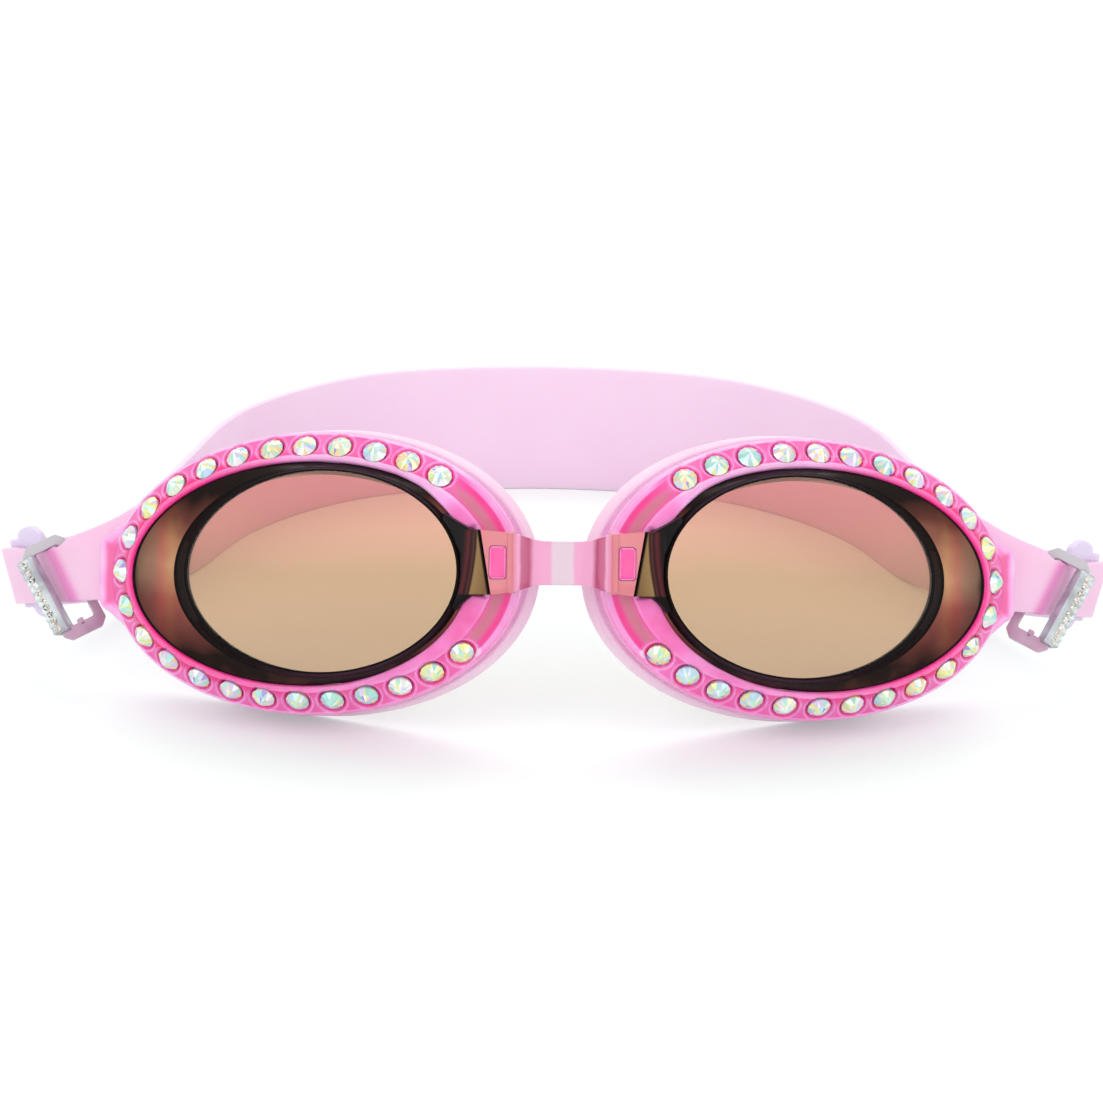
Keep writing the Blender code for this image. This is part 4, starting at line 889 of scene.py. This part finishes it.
def bezel_tint_with_painted_light(eye, place, seats):
    """(how deep the pink is, how smoky the plastic is) at a place on the bezel. Both also carry painted light:
    paler highlights on the post's frame, along the lip's crest and on the ridges between scallops, deeper shade
    round each stone, and a dark shade line in a groove at the temple.
    """
    u, v, w = eye.coordinates(place)
    angle, grow = OPENING.outside(u, v)
    if w > LIP_RISE + 0.15 * MM and u < -OPENING_WIDTH / 2 - 0.8 * MM:
        from_post = max(abs(u + POST_FROM_CENTRE) / POST_WIDTH, abs(v - BRIDGE_UP) / POST_HEIGHT)
        # Painted highlight: the frame round the post is paler than the post, as light on its rounded edges.
        return (0.74 if from_post < 0.5 else 0.3), 0.0
    temple = smooth((cos(angle) + 0.15) / 0.85)
    nose = smooth((-cos(angle) - 0.72) / 0.14)
    below = smooth((-sin(angle) - 0.1) / 0.6) * (1 - temple)
    if grow < LIP_CREST - 0.1 * MM:
        deep = 0.16 + 0.64 * temple + 0.16 * nose + 0.18 * below
        # Painted highlight: a pale line along the lip's crest, stronger at the temple.
        return deep - (0.34 * temple + 0.08) * bell(grow / MM - 0.95, 0.16), 0.0
    if grow < RIM_WIDTH - 0.35 * MM:
        distance = nearest_seat(place, seats)[1] / MM
        near_lip = 1 - smooth((grow - LIP_CREST) / (1.1 * MM))
        away = smooth((distance - 2.6) / 0.6)
        deep = 0.46 + (0.5 * temple + 0.06) * near_lip
        # Painted shade and highlight: a deeper ring in the crevice round each stone, and a paler ring on the
        # ridges between the scallops.
        deep += 0.36 * bell(distance - 2.04, 0.15) - 0.28 * bell(distance - 2.46, 0.15)
        deep += 0.32 * nose * away * smooth((grow - 2.4 * MM) / (0.7 * MM))
        deep -= 0.55 * nose * smooth((grow - 3.5 * MM) / (0.3 * MM))
        # Painted shade: slot is a dark line along a narrow groove beside the stones at the temple, put into the
        # smoke value.
        slot = bell(grow / MM - 1.75, 0.16) * smooth((cos(angle) - 0.88) / 0.05)
        return deep, 0.75 * nose * away * bell(grow / MM - 2.1, 0.75) + 0.8 * slot
    if u > OPENING_WIDTH / 2:
        margin = min(LUG_REACH - u, LUG_HIGH - v, v - LUG_LOW)
        return 0.1 + 0.44 * smooth((margin - 0.7 * MM) / (1.2 * MM)), 0.0
    return 0.02 + 0.34 * bell(w + 3.2 * MM, 0.45 * MM) + 0.1 * nose + 0.2 * below, 0.0


def make_bezel(eye, seats, material):
    meshes = [bezel_ring(eye, seats)]
    back = -BEZEL_DEPTH
    for outline, *depths, rounding, inner in (
        (lug_outline(), back + 0.02 * MM, back + LUG_THICKNESS, LUG_ROUND, (1.0, 1.5, 2.2)),
        (window_outline(CATCH_LARGER), -CATCH_BACK, POST_FRONT, CATCH_ROUND, (0.55,)),
    ):
        builder = bmesh.new()
        slab(builder, eye, outline, *depths, rounding, inner=[inset * MM for inset in inner])
        meshes.append(finish_mesh(builder, "bezel part"))
    name = f"stone_bezel_{eye.label}"
    bezel, *others = (add_object(name, mesh, material) for mesh in meshes)
    combine(bezel, "UNION", others, sharp=50)
    # The tint and smoke values hold painted highlights and shade besides the plastic's own colour.
    tints_with_painted_light = [bezel_tint_with_painted_light(eye, vert.co, seats) for vert in bezel.data.vertices]
    put_values(bezel.data, "tint_and_painted_light", "FLOAT", "value", [tint_and_painted_light for tint_and_painted_light, _ in tints_with_painted_light])
    put_values(bezel.data, "smoke_and_painted_shade", "FLOAT", "value", [smoke_and_painted_shade for _, smoke_and_painted_shade in tints_with_painted_light])
    ride(bezel, eye.body, "bezel", f"bezel_{eye.label}")


# ---- strips, gasket and strap


def strip_ring(centre, across, outward, half_width, half_thick, rounding=0.35 * MM):
    """Points round a flat strip's section with rounded edges, with more along its flat sides."""
    x, y = half_width - rounding, half_thick - rounding
    spots = []
    for sign, start in ((1, 0.0), (-1, pi)):
        spots += arc((sign * x, sign * y), rounding, start, start + pi / 2, 4)
        spots += [(sign * x * (1 - 2 * share), sign * half_thick) for share in shares(4)[1:-1]]
        spots += arc((-sign * x, sign * y), rounding, start + pi / 2, start + pi, 4)
    return [centre + across * a + outward * b for a, b in spots]


def upward_of(heading, outward):
    upward = outward.cross(heading)
    return (upward if upward.y > 0 else -upward).normalized()


def arm_frame(along):
    """(centre, heading, outward normal) of the side arm in (u, v, w), at a length along it."""
    bend = min(max(along - ARM_STRAIGHT, 0.0) / ARM_RADIUS, ARM_BEND)
    middle_depth = BEZEL_DEPTH + CLEARANCE * 4 / 3 + ARM_THICKNESS / 2
    centre = Vector((
        ARM_START + min(along, ARM_STRAIGHT) + ARM_RADIUS * sin(bend),
        ARM_UP - ARM_DROOP * min(along, FOLD_START),
        -middle_depth - ARM_RADIUS * (1 - cos(bend)),
    ))
    heading = Vector((cos(bend), -ARM_DROOP, -sin(bend))).normalized()
    outward = Vector((sin(bend), 0.0, cos(bend)))
    past = along - FOLD_START
    if past <= 0.0:
        return centre, heading, outward
    axis = upward_of(heading, outward) * cos(ARM_FOLD_SKEW) + heading * sin(ARM_FOLD_SKEW)
    turned = min(past / ARM_FOLD_RADIUS, ARM_FOLD)
    turn = Matrix.Rotation(turned, 3, axis)
    along_axis = axis * heading.dot(axis)
    ahead = heading - along_axis
    centre += along_axis * past + ahead * ARM_FOLD_RADIUS * sin(turned)
    centre += axis.cross(ahead) * ARM_FOLD_RADIUS * (1 - cos(turned))
    centre += (turn @ ahead) * max(past - ARM_FOLD_RADIUS * ARM_FOLD, 0.0)
    return centre, turn @ heading, turn @ outward


def arm_section(along):
    """(ring, pigment) of the side arm in (u, v, w), at a length along it; the pigment holds painted shade at the
    fold.
    """
    centre, heading, outward = arm_frame(along)
    flare = min((along + ARM_ROOT_HIDDEN) / (ARM_FLARE_LENGTH + ARM_ROOT_HIDDEN), 1.0)
    width = ARM_ROOT_WIDTH + (ARM_WIDTH - ARM_ROOT_WIDTH) * (1 - (1 - flare) ** 1.4)
    taper = max(along - ARM_FLARE_LENGTH, 0.0) / (ARM_LENGTH - ARM_FLARE_LENGTH)
    past = smooth((along - FOLD_END) / (ARM_LENGTH - FOLD_END))
    dip = ARM_DIP * (smooth((along - FOLD_START + ARM_DIP_LENGTH) / ARM_DIP_LENGTH) - past)
    half = (width - (ARM_WIDTH - ARM_END_WIDTH) * taper - dip) / 2
    skew = tan(ARM_FOLD_SKEW) * smooth(along / FOLD_START)
    across = upward_of(heading, outward) + heading * (skew + (ARM_END_SLANT - skew) * past)
    off_fold = (along - (FOLD_START + FOLD_END) / 2) / MM
    # Painted shade: the pigment rises in a band at the fold and just past it, where the arm dips behind the lever.
    pigment_and_painted_shade = ARM_PIGMENT + 0.85 * bell(off_fold, 1.0) + 0.35 * bell(off_fold - 2.2, 1.8)
    ring = strip_ring(centre - across * dip / 2, across, outward, half, ARM_THICKNESS / 2)
    return ring, min(pigment_and_painted_shade, 1.0)


def arm_root():
    """The arm's first ring in (u, v, w), bowed out of sight behind the bezel's lug."""
    centre, heading, outward = arm_frame(0.0)
    across = upward_of(heading, outward)
    half = (ARM_ROOT_WIDTH - 1.0 * MM) / 2
    ring = []
    for point in strip_ring(centre, across, outward, half, ARM_THICKNESS / 2):
        bow = ((point - centre).dot(across) / half) ** 2
        ring.append(point - heading * (1.4 + 1.8 * bow) * MM)
    return ring


GASKET_SECTION = (
    # how far outside the opening in mm, share of the gasket's depth, pigment
    (4.6, 0.00, 0.9), (4.95, 0.05, 0.9), (5.00, 0.28, 0.9), (4.86, 0.38, 0.7), (4.8, 0.5, 0.4),
    (5.05, 0.74, 0.0), (5.25, 0.84, 0.0), (5.15, 0.94, 0.0), (4.4, 1.00, 0.0), (3.2, 0.99, 0.1),
    (2.1, 0.62, 0.3), (1.7, 0.25, 0.4), (0.8, 0.00, 0.5),
)


def cut_corners(points, passes=2):
    """A closed run of value tuples with its corners rounded."""
    for _ in range(passes):
        rounded = []
        for here, there in zip(points, points[1:] + points[:1]):
            for share in (0.25, 0.75):
                rounded.append(tuple(a + (b - a) * share for a, b in zip(here, there)))
        points = rounded
    return points


def make_gasket(eye, material):
    builder = bmesh.new()
    layer = builder.verts.layers.float.new("pigment_and_painted_shade")
    rings, pigments = [], []
    for grow, share, pigment_and_painted_shade in cut_corners(list(GASKET_SECTION)):
        ring = []
        for angle in turns(GASKET_STEPS):
            depth = share * (GASKET_DEPTH + GASKET_TEMPLE_DEPTH * cos(angle))
            place = OPENING.point(angle, grow * MM)
            ring.append(eye.point(*place, -BEZEL_DEPTH - CLEARANCE - depth))
        rings.append(ring)
        pigments.append(pigment_and_painted_shade * GASKET_PIGMENT)
    paint(add_rings(builder, rings, close=True), layer, pigments)
    arm = [(arm_root(), ARM_PIGMENT)] + [arm_section(ARM_LENGTH * share) for share in shares(90)]
    loops = add_bar(builder, [[eye.point(*point) for point in ring] for ring, _ in arm])
    paint(loops, layer, [pigment_and_painted_shade for _, pigment_and_painted_shade in arm])
    gasket = add_object(f"seal_{eye.label}", finish_mesh(builder, "seal", sharp=50), material)
    ride(gasket, eye.body, "gasket", f"gasket_{eye.label}")


def ring_axes():
    """The ring's place on the arm in (u, v, w): the middle of its inner bar, its long axis, the
    short axis to its outer bar, and its front."""
    centre, heading, outward = arm_frame(FOLD_START - RING_BEFORE_FOLD)
    upward = upward_of(heading, outward)
    leaning = upward * cos(RING_TILT) + heading * sin(RING_TILT)
    across_arm = heading * cos(RING_TILT) - upward * sin(RING_TILT)
    standing = across_arm * cos(RING_TWIST) + outward * sin(RING_TWIST)
    front = outward * cos(RING_TWIST) - across_arm * sin(RING_TWIST)
    long_axis = leaning * cos(RING_YAW) + standing * sin(RING_YAW)
    short_axis = standing * cos(RING_YAW) - leaning * sin(RING_YAW)
    behind = ARM_THICKNESS / 2 + CLEARANCE + BAR_HALF_DIAGONAL + RING_BEHIND
    return centre - outward * behind - long_axis * RING_HANG, long_axis, short_axis, front


def hook_sections():
    """(centre, across, outward, half width) of the strap's end in (u, v, w): a lip that hooks the
    ring's inner bar, a neck behind that bar, and a rounded paddle behind the arm's end."""
    centre, heading, outward = arm_frame(FOLD_START - RING_BEFORE_FOLD)
    inner_bar, long_axis, _, _ = ring_axes()
    inner_bar += long_axis * RING_HANG
    past = (heading - long_axis * heading.dot(long_axis)).normalized()
    off = past.cross(long_axis)
    if off.dot(outward) < 0:
        off.negate()
    clear = BAR_HALF_DIAGONAL + CLEARANCE + STRAP_THICKNESS / 2
    lip_front = (inner_bar - centre).length - ARM_THICKNESS / 2 - LIP_BEHIND_ARM
    in_round = HOOK_ROUND * (1 - cos(pi / 4))
    half = HOOK_WIDTH / 2
    sections = []
    for along, above, facing in (
        (-clear, lip_front, past),
        (-clear, HOOK_ROUND - clear, past),
        (in_round - clear, in_round - clear, past + off),
        (HOOK_ROUND - clear, -clear, off),
        (STRAP_THICKNESS / 2, -clear, off),
    ):
        sections.append((inner_bar + past * along + off * above, long_axis, facing, half))
    behind_arm = (ARM_THICKNESS + STRAP_THICKNESS) / 2 + CLEARANCE
    for share in shares(12):
        centre, heading, outward = arm_frame(PADDLE_START + PADDLE_LENGTH * share)
        base = HOOK_WIDTH / 2 if share < 0.5 else STRAP_SIDE_WIDTH / 2
        half = base + (PADDLE_HEIGHT / 2 - base) * max(1 - (2 * share - 1) ** 2, 0.0) ** 0.5
        middle = centre - outward * behind_arm
        sections.append((middle, upward_of(heading, outward), outward, half))
    return sections


def loop_point(angle):
    """Plan point of the oval that the back of the strap follows, behind the cups' centres."""
    power = 2 / STRAP_LOOP_POWER
    x = STRAP_LOOP_WIDTH / 2 * abs(cos(angle)) ** power
    y = STRAP_LOOP_START + (STRAP_BACK - STRAP_LOOP_START) * sin(angle) ** power
    return Vector((x, y, 0.0))


def finer(rows, steps):
    """Rows of numbers, the first three a place, with smooth rows put between them."""
    rows = [Vector(row) for row in rows]
    spans = [max((there - here).to_3d().length, 1e-6) for here, there in zip(rows, rows[1:])]
    pitches = [(there - here) / span for here, there, span in zip(rows, rows[1:], spans)]
    slopes = [pitches[0]]
    for before, after, near, far in zip(pitches, pitches[1:], spans, spans[1:]):
        slopes.append((before * far + after * near) / (near + far))
    slopes.append(pitches[-1])
    fine = []
    for index, span in enumerate(spans):
        for t in shares(steps)[:-1]:
            row = rows[index] * (2 * t**3 - 3 * t**2 + 1) + rows[index + 1] * (3 * t**2 - 2 * t**3)
            row += slopes[index] * (t**3 - 2 * t**2 + t) * span
            fine.append(row + slopes[index + 1] * (t**3 - t**2) * span)
    return fine + rows[-1:]


def curve_through(route, steps=30):
    """Points along a Catmull-Rom curve through a route, which mirrors at its end."""
    last = len(route) - 1
    mirrored = Vector((-route[-2].x, route[-2].y, 0.0))
    points = [route[0], *route, mirrored]
    places = []
    for place in (last * share for share in shares(steps)):
        index = min(int(place), last - 1)
        share = place - index
        p0, p1, p2, p3 = points[index : index + 4]
        places.append(0.5 * (
            2 * p1
            + (p2 - p0) * share
            + (2 * p0 - 5 * p1 + 4 * p2 - p3) * share**2
            + (3 * p1 - p0 - 3 * p2 + p3) * share**3
        ))
    return places


def strap_rows(eye):
    """Rows of (centre, across, outward, half width, pigment) of the strap's right half."""
    rows = []
    for centre, across, outward, half in hook_sections():
        across, outward = eye.direction(across).normalized(), eye.direction(outward).normalized()
        rows.append([*eye.point(*centre), *across, *outward, half, 1.0])
    leave, before = Vector(rows[-1][:3]), Vector(rows[-2][:3])
    leave_across, low_edge = Vector(rows[-1][3:6]), leave.z - rows[-1][9]
    behind = Vector((0.0, eye.centre.y, 0.0))
    ahead = (leave - before).normalized()
    start = Vector((leave.x, leave.y, 0.0)) - behind
    turn = start + Vector((ahead.x, ahead.y, 0.0)) * TURN_AHEAD
    route = [start, turn + Vector((0.0, TURN_BACK, 0.0)), turn.lerp(loop_point(LOOP_JOIN), 0.5)]
    route += [loop_point(LOOP_JOIN + LOOP_TURN * index) for index in range(LOOP_POINTS)]
    places = curve_through(route + [Vector((0.0, STRAP_BACK, 0.0))])
    lengths = [0.0]
    for here, there in zip(places, places[1:]):
        lengths.append(lengths[-1] + (there - here).length)
    afters = places[2:] + [places[-2] - X_AXIS]
    for here, place, after, length in zip(places, places[1:], afters, lengths[1:]):
        share = length / lengths[-1]
        across = leave_across.lerp(Z_AXIS, smooth(share / STRAP_UPRIGHT_SHARE)).normalized()
        ahead = (after - here).normalized()
        outward = Vector((ahead.y, -ahead.x, 0.0))
        outward = (outward - across * outward.dot(across)).normalized()
        wider = smooth((share - STRAP_NARROW_SHARE) / (STRAP_WIDE_SHARE - STRAP_NARROW_SHARE))
        half = (STRAP_SIDE_WIDTH + (STRAP_BACK_WIDTH - STRAP_SIDE_WIDTH) * wider) / 2
        edge = low_edge * max(1 - share / STRAP_DOWN_SHARE, 0.0) ** STRAP_DOWN_POWER
        place = Vector((place.x, place.y + behind.y, edge + half))
        rows.append([*place, *across, *outward, half, 1 - smooth(share / 0.05)])
    return rows


def make_strap(eye, material):
    """The strap, from one hook round the back to the other."""
    right = strap_rows(eye)
    left = []
    for row in right[-2::-1]:
        left.append([-value if column in (0, 3, 6) else value for column, value in enumerate(row)])
    rings, pigments = [], []
    for row in finer(right + left, 4):
        centre, across, outward = (Vector(row[start : start + 3]) for start in (0, 3, 6))
        axes = (across.normalized(), outward.normalized())
        rings.append(strip_ring(centre, *axes, row[9], STRAP_THICKNESS / 2))
        pigments.append(min(max(row[10], 0.0), 1.0))
    builder = bmesh.new()
    layer = builder.verts.layers.float.new("pigment_and_painted_shade")
    paint(add_bar(builder, rings), layer, pigments)
    strap = add_object("strap", finish_mesh(builder, "strap", sharp=50), material)
    low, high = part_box("head_strap")
    bend(strap, "head_strap", STRAP_BLEND_REACH, 0.0, (low.z + high.z) / 2)


# ---- bridge


PLATE_STATIONS = (
    # share of the plate's length, share of the rib's rise, share of the plate's slant
    (0.0, 0.0, 1.0), (0.3, 0.0, 0.7), (0.55, 0.0, 0.4), (0.68, 0.0, 0.1), (0.7, 0.0, 0.0),
    (0.73, 0.8, 0.0), (0.76, 1.0, 0.0), (0.83, 1.0, 0.0), (0.87, 0.8, 0.0), (0.9, 0.15, 0.0),
    (1.0, 0.1, 0.0),
)


def bridge_rings(left, right):
    """Sections of the bridge from its left end to its right: plate, rib, curved neck and back."""
    middle = (left.centre + right.centre) / 2
    upward = Vector(JOINTS["bridge_flex"]["axis"]).normalized()
    back = upward.cross(X_AXIS)

    def plan(from_centre, w):
        place = right.point(-from_centre, 0.0, w) - middle
        return Vector((place.x, place.dot(back)))

    depth = TONGUE_BOTTOM + TONGUE_THICKNESS + CLEARANCE + BRIDGE_THICKNESS / 2
    facing = plan(0.0, 1.0) - plan(0.0, 0.0)
    half_plate, half_rib, half_neck = PLATE_HEIGHT / 2, BRIDGE_RIB_HEIGHT / 2, BRIDGE_NECK_HEIGHT / 2
    stations = []
    for share, rise, slant in PLATE_STATIONS:
        half = half_plate + (half_rib - half_plate) * share
        place = plan(PLATE_START + PLATE_LENGTH * share, depth)
        thick = BRIDGE_THICKNESS + 1.6 * BRIDGE_RIB * rise
        stations.append((place, facing, half, thick, PLATE_SLANT * slant))
    end = stations[-1][0]
    bow = -facing.x / facing.y / (2 * end.x)
    for share in shares(24)[1:]:
        x = end.x * (1 - share)
        tilt = atan2(2 * bow * x, 1.0)
        half = half_rib + (half_neck - half_rib) * (1 - (1 - min(share / 0.62, 1.0)) ** 1.6)
        thick = BRIDGE_THICKNESS + (BRIDGE_NECK_THICKNESS - BRIDGE_THICKNESS) * smooth(share / 0.3)
        place = Vector((x, end.y - bow * (end.x**2 - x**2)))
        stations.append((place, Vector((sin(tilt), -cos(tilt))), half, thick, 0.0))
    halves = []
    for side in (X_AXIS, -X_AXIS):
        rings = []
        for place, facing, half, thick, slant in stations:
            centre = middle + side * place.x + back * place.y + upward * BRIDGE_UP
            outward = side * facing.x + back * facing.y
            across = upward - (side * facing.y - back * facing.x) * slant
            rings.append(strip_ring(centre, across, outward, half, thick / 2, 0.28 * MM))
        halves.append(rings)
    return halves[0] + halves[1][-2::-1]


def make_bridge(left, right, material):
    bridge = add_object("bridge", bar_mesh("bridge", bridge_rings(left, right)), material)
    for eye in (left, right):
        window = window_outline(CLEARANCE)
        rings = [[eye.point(u, v, depth) for u, v in window] for depth in (0.0, 5 * MM)]
        cutter = add_object("window", bar_mesh("window", rings))
        combine(bridge, "DIFFERENCE", [cutter], sharp=40)
    low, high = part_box("nose_bridge")
    bend(bridge, "nose_bridge", BRIDGE_BLEND_REACH, *((low + high) / 2).yz)


# ---- buckles


def chamfered(a, b, corner):
    """Corners of a rectangle with these half sizes and cut corners."""
    c, d = a - corner, b - corner
    return [(c, b), (-c, b), (-a, d), (-a, -d), (-c, -b), (c, -b), (a, -d), (a, d)]


class Buckle:
    """Axes of one buckle in the frame: its front, the short axis to the outer bar, the long axis."""

    def __init__(self, eye):
        inner_bar, long_axis, short_axis, front = ring_axes()
        self.long = eye.direction(long_axis)
        self.short = eye.direction(short_axis)
        self.front = eye.direction(front)
        self.pivot = eye.point(*inner_bar) + self.short * BAR_TO_BAR

    def point(self, front, short, long):
        """A place in the frame, from the middle of the outer bar."""
        return self.pivot + self.front * front + self.short * short + self.long * long


def make_ring(eye, buckle, material):
    """The flat ring with cut corners, and the stop beside the lever's lower end."""
    half, end = RING_BAR / 2, RING_LENGTH / 2
    outer = chamfered(RING_WIDTH / 2, end, RING_CORNER)
    inner = chamfered(RING_WIDTH / 2 - RING_BAR, end - RING_END_BAR, RING_HOLE_CORNER)
    inner = [(x, y + RING_LOW_BAR - RING_END_BAR if y < 0 else y) for x, y in inner]
    near, low = BAR_TO_BAR / 2 - STOP_FROM_BAR, RING_BAR - end
    far, high = near + STOP_WIDTH, low + STOP_LENGTH
    stop = [(near, low), (far, low), (far, high), (near, high)]

    def flat(outline, front):
        return [buckle.point(front, x - BAR_TO_BAR / 2, y) for x, y in outline]

    builder = bmesh.new()
    faces = ((outer, half), (inner, half), (inner, -half), (outer, -half))
    add_rings(builder, [flat(*face) for face in faces], close=True)
    add_bar(builder, [flat(stop, -half), flat(stop, half)])
    ring = add_object(f"buckle_ring_{eye.label}", finish_mesh(builder, "buckle ring"), material)
    rounded_edges(ring, 0.17 * MM)
    heights = [(vert.co - buckle.pivot).dot(buckle.long) / end for vert in ring.data.vertices]
    greys = [smooth((height - 0.3) / 0.5) for height in heights]
    put_values(ring.data, "tint_and_painted_light", "FLOAT", "value", greys)
    ride(ring, eye.body, "buckle_frame", f"buckle_frame_{eye.label}")


def lever_outline():
    """(front, short) of the lever's section: a clip round the ring's bar, a smooth face towards the
    nose, and a slope that carries the small stones."""
    reach, slot = LEVER_BORE + LEVER_WALL, LEVER_SLOT / 2
    start = atan2(slot, LEVER_BORE)
    aslant = reach * cos(pi / 4)
    inner, outer = LEVER_INNER, LEVER_OUTER
    return [
        *arc((0.0, 0.0), LEVER_BORE, pi + start, 3 * pi - start, 16),
        (-reach, slot), (-aslant, aslant), (0.0, reach),
        (0.45 * MM, outer - 0.12 * MM), (0.78 * MM, outer), (LEVER_EDGE, outer - 0.15 * MM),
        (reach - 0.05 * MM, 0.4 * MM), (reach, 0.26 * MM),
        (reach, inner + 0.28 * MM), (reach - 0.24 * MM, inner),
        (0.0, -reach), (-aslant, -aslant), (-reach, -slot),
    ]


def make_lever(eye, buckle, silver, crystal):
    """The lever, with rounded ends and an edge that swells at each of its small stones."""
    half = RING_LENGTH / 2 - RING_BAR - CLEARANCE
    rings = []
    for along in (half * (2 * share - 1) for share in shares(40)):
        bulge = LEVER_SWELL * cos(2 * pi * along / LEVER_STONE_PITCH)
        ends = min((1 - abs(along) / half) / 0.06, 1.0)
        rounding = 1 - (1 - ends) ** 2 * 0.35
        ring = []
        for front, short in lever_outline():
            if front > LEVER_EDGE:
                front = LEVER_EDGE + (front - LEVER_EDGE) * rounding
            if short > LEVER_ROUNDED_PAST and front > 0.3 * MM:
                short = LEVER_ROUNDED_PAST + (short - LEVER_ROUNDED_PAST) * rounding
            if short > LEVER_SWELLS_PAST:
                short += bulge
            ring.append(buckle.point(front, short, along))
        rings.append(ring)
    lever = add_object(f"lever_{eye.label}", bar_mesh("lever", rings), silver)
    rounded_edges(lever, 0.08 * MM)
    ride(lever, f"{eye.label}_lever", "buckle_lever", f"buckle_lever_{eye.label}")

    count = int(2 * half / LEVER_STONE_PITCH)
    axis = buckle.front * 0.95 + buckle.short * 0.31
    spots = []
    for index in range(count):
        along = (index - (count - 1) / 2) * LEVER_STONE_PITCH
        spots.append((buckle.point(LEVER_STONE_FRONT, LEVER_STONE_OUT, along), axis))
    sizes = (LEVER_STONE_RADIUS, LEVER_STONE_HEIGHT, 8)
    shape = (*sizes, random.Random(41 + eye.side), LEVER_STONE_COLOURS)
    stones = add_stones(f"lever_stones_{eye.label}", spots, crystal, *shape)
    ride(stones, f"{eye.label}_lever", "buckle_lever")


# ---- floor, light and camera


def make_floor():
    """The floor, which seen rays find a little brighter, so that it ends white where it is lit."""
    look = Look("floor", Base_Color=(0.825, 0.885, 0.865), Roughness=0.9, Specular_IOR_Level=0.1)
    glow = look.add("Emission", {"Strength": look.maths("MULTIPLY", look.seen_rays(), FLOOR_GLOW)})
    both = look.add("AddShader", {0: look.shader.outputs[0], 1: glow.outputs[0]})
    look.fill(look.tree.nodes["Material Output"], {"Surface": both.outputs[0]})
    builder = bmesh.new()
    bmesh.ops.create_grid(builder, x_segments=1, y_segments=1, size=3.0)
    floor = add_object("floor", finish_mesh(builder, "floor"), look.material)


def make_world():
    world = bpy.data.worlds.new("studio")
    bpy.context.scene.world = world
    nodes = Nodes(world)
    level = nodes.add("MapRange", {"Value": nodes.seen_rays(), "To Min": 0.8, "To Max": 1.0})
    light = {"Color": (1.0, 1.0, 1.0), "Strength": level.outputs[0]}
    nodes.fill(nodes.tree.nodes["Background"], light)


def add_light(name, place, width, height, power):
    data = bpy.data.lights.new(name, "AREA")
    data.shape = "RECTANGLE"
    data.size, data.size_y, data.energy = width, height, power
    light = add_object(name, data)
    light.location = place
    light.rotation_mode = "QUATERNION"
    light.rotation_quaternion = (Z_AXIS * 0.02 - Vector(place)).to_track_quat("-Z", "Y")


def make_lights():
    add_light("top box", (0.0, 0.55, 0.95), 1.1, 0.7, 3.5)
    add_light("front left box", (-0.8, -0.9, 0.6), 0.7, 0.9, 3.5)
    add_light("front right box", (0.9, -0.8, 0.5), 0.6, 0.9, 3.0)


def make_camera():
    level = cos(CAMERA_ELEVATION)
    back = Vector((
        sin(CAMERA_AZIMUTH) * level, -cos(CAMERA_AZIMUTH) * level, sin(CAMERA_ELEVATION)
    ))
    right = Z_AXIS.cross(back).normalized()
    up = back.cross(right)
    turned_right = right * cos(CAMERA_ROLL) + up * sin(CAMERA_ROLL)
    turned_up = up * cos(CAMERA_ROLL) - right * sin(CAMERA_ROLL)
    data = bpy.data.cameras.new("camera")
    data.lens = FOCAL_LENGTH
    data.sensor_width = 36.0
    data.clip_start = 0.05
    camera = add_object("camera", data)
    turn = Matrix((turned_right, turned_up, back)).transposed().to_4x4()
    camera.matrix_world = Matrix.Translation(CAMERA_AIM + back * CAMERA_DISTANCE) @ turn
    bpy.context.scene.camera = camera


# ---- everything


def make_goggles():
    lens = [
        lens_face_material(), black_material(), smoky_material(), lug_material(), tan_material()
    ]
    pink, crystal = bezel_material(), crystal_material()
    seal = silicone_material(
        "seal silicone", (0.945, 0.7, 0.84), (0.915, 0.64, 0.79), (0.83, 0.3, 0.6), 70.0
    )
    strap = silicone_material(
        "strap silicone", (0.945, 0.73, 0.88), (0.925, 0.67, 0.85), (0.75, 0.66, 0.84), 25.0
    )
    ring, silver = ring_material(), silver_material()
    eyes = [Eye("left", -1), Eye("right", 1)]
    for eye in eyes:
        seats = [stone_place(node) for node in stone_nodes(eye.label)]
        make_lens(eye, lens)
        make_bezel(eye, seats, pink)
        make_stones(eye, seats, crystal)
        make_gasket(eye, seal)
        buckle = Buckle(eye)
        make_ring(eye, buckle, ring)
        make_lever(eye, buckle, silver, crystal)
    make_bridge(*eyes, bridge_material())
    make_strap(eyes[1], strap)


make_camera()
make_goggles()
make_floor()
make_world()
make_lights()
bpy.context.scene.view_settings.view_transform = "Standard"
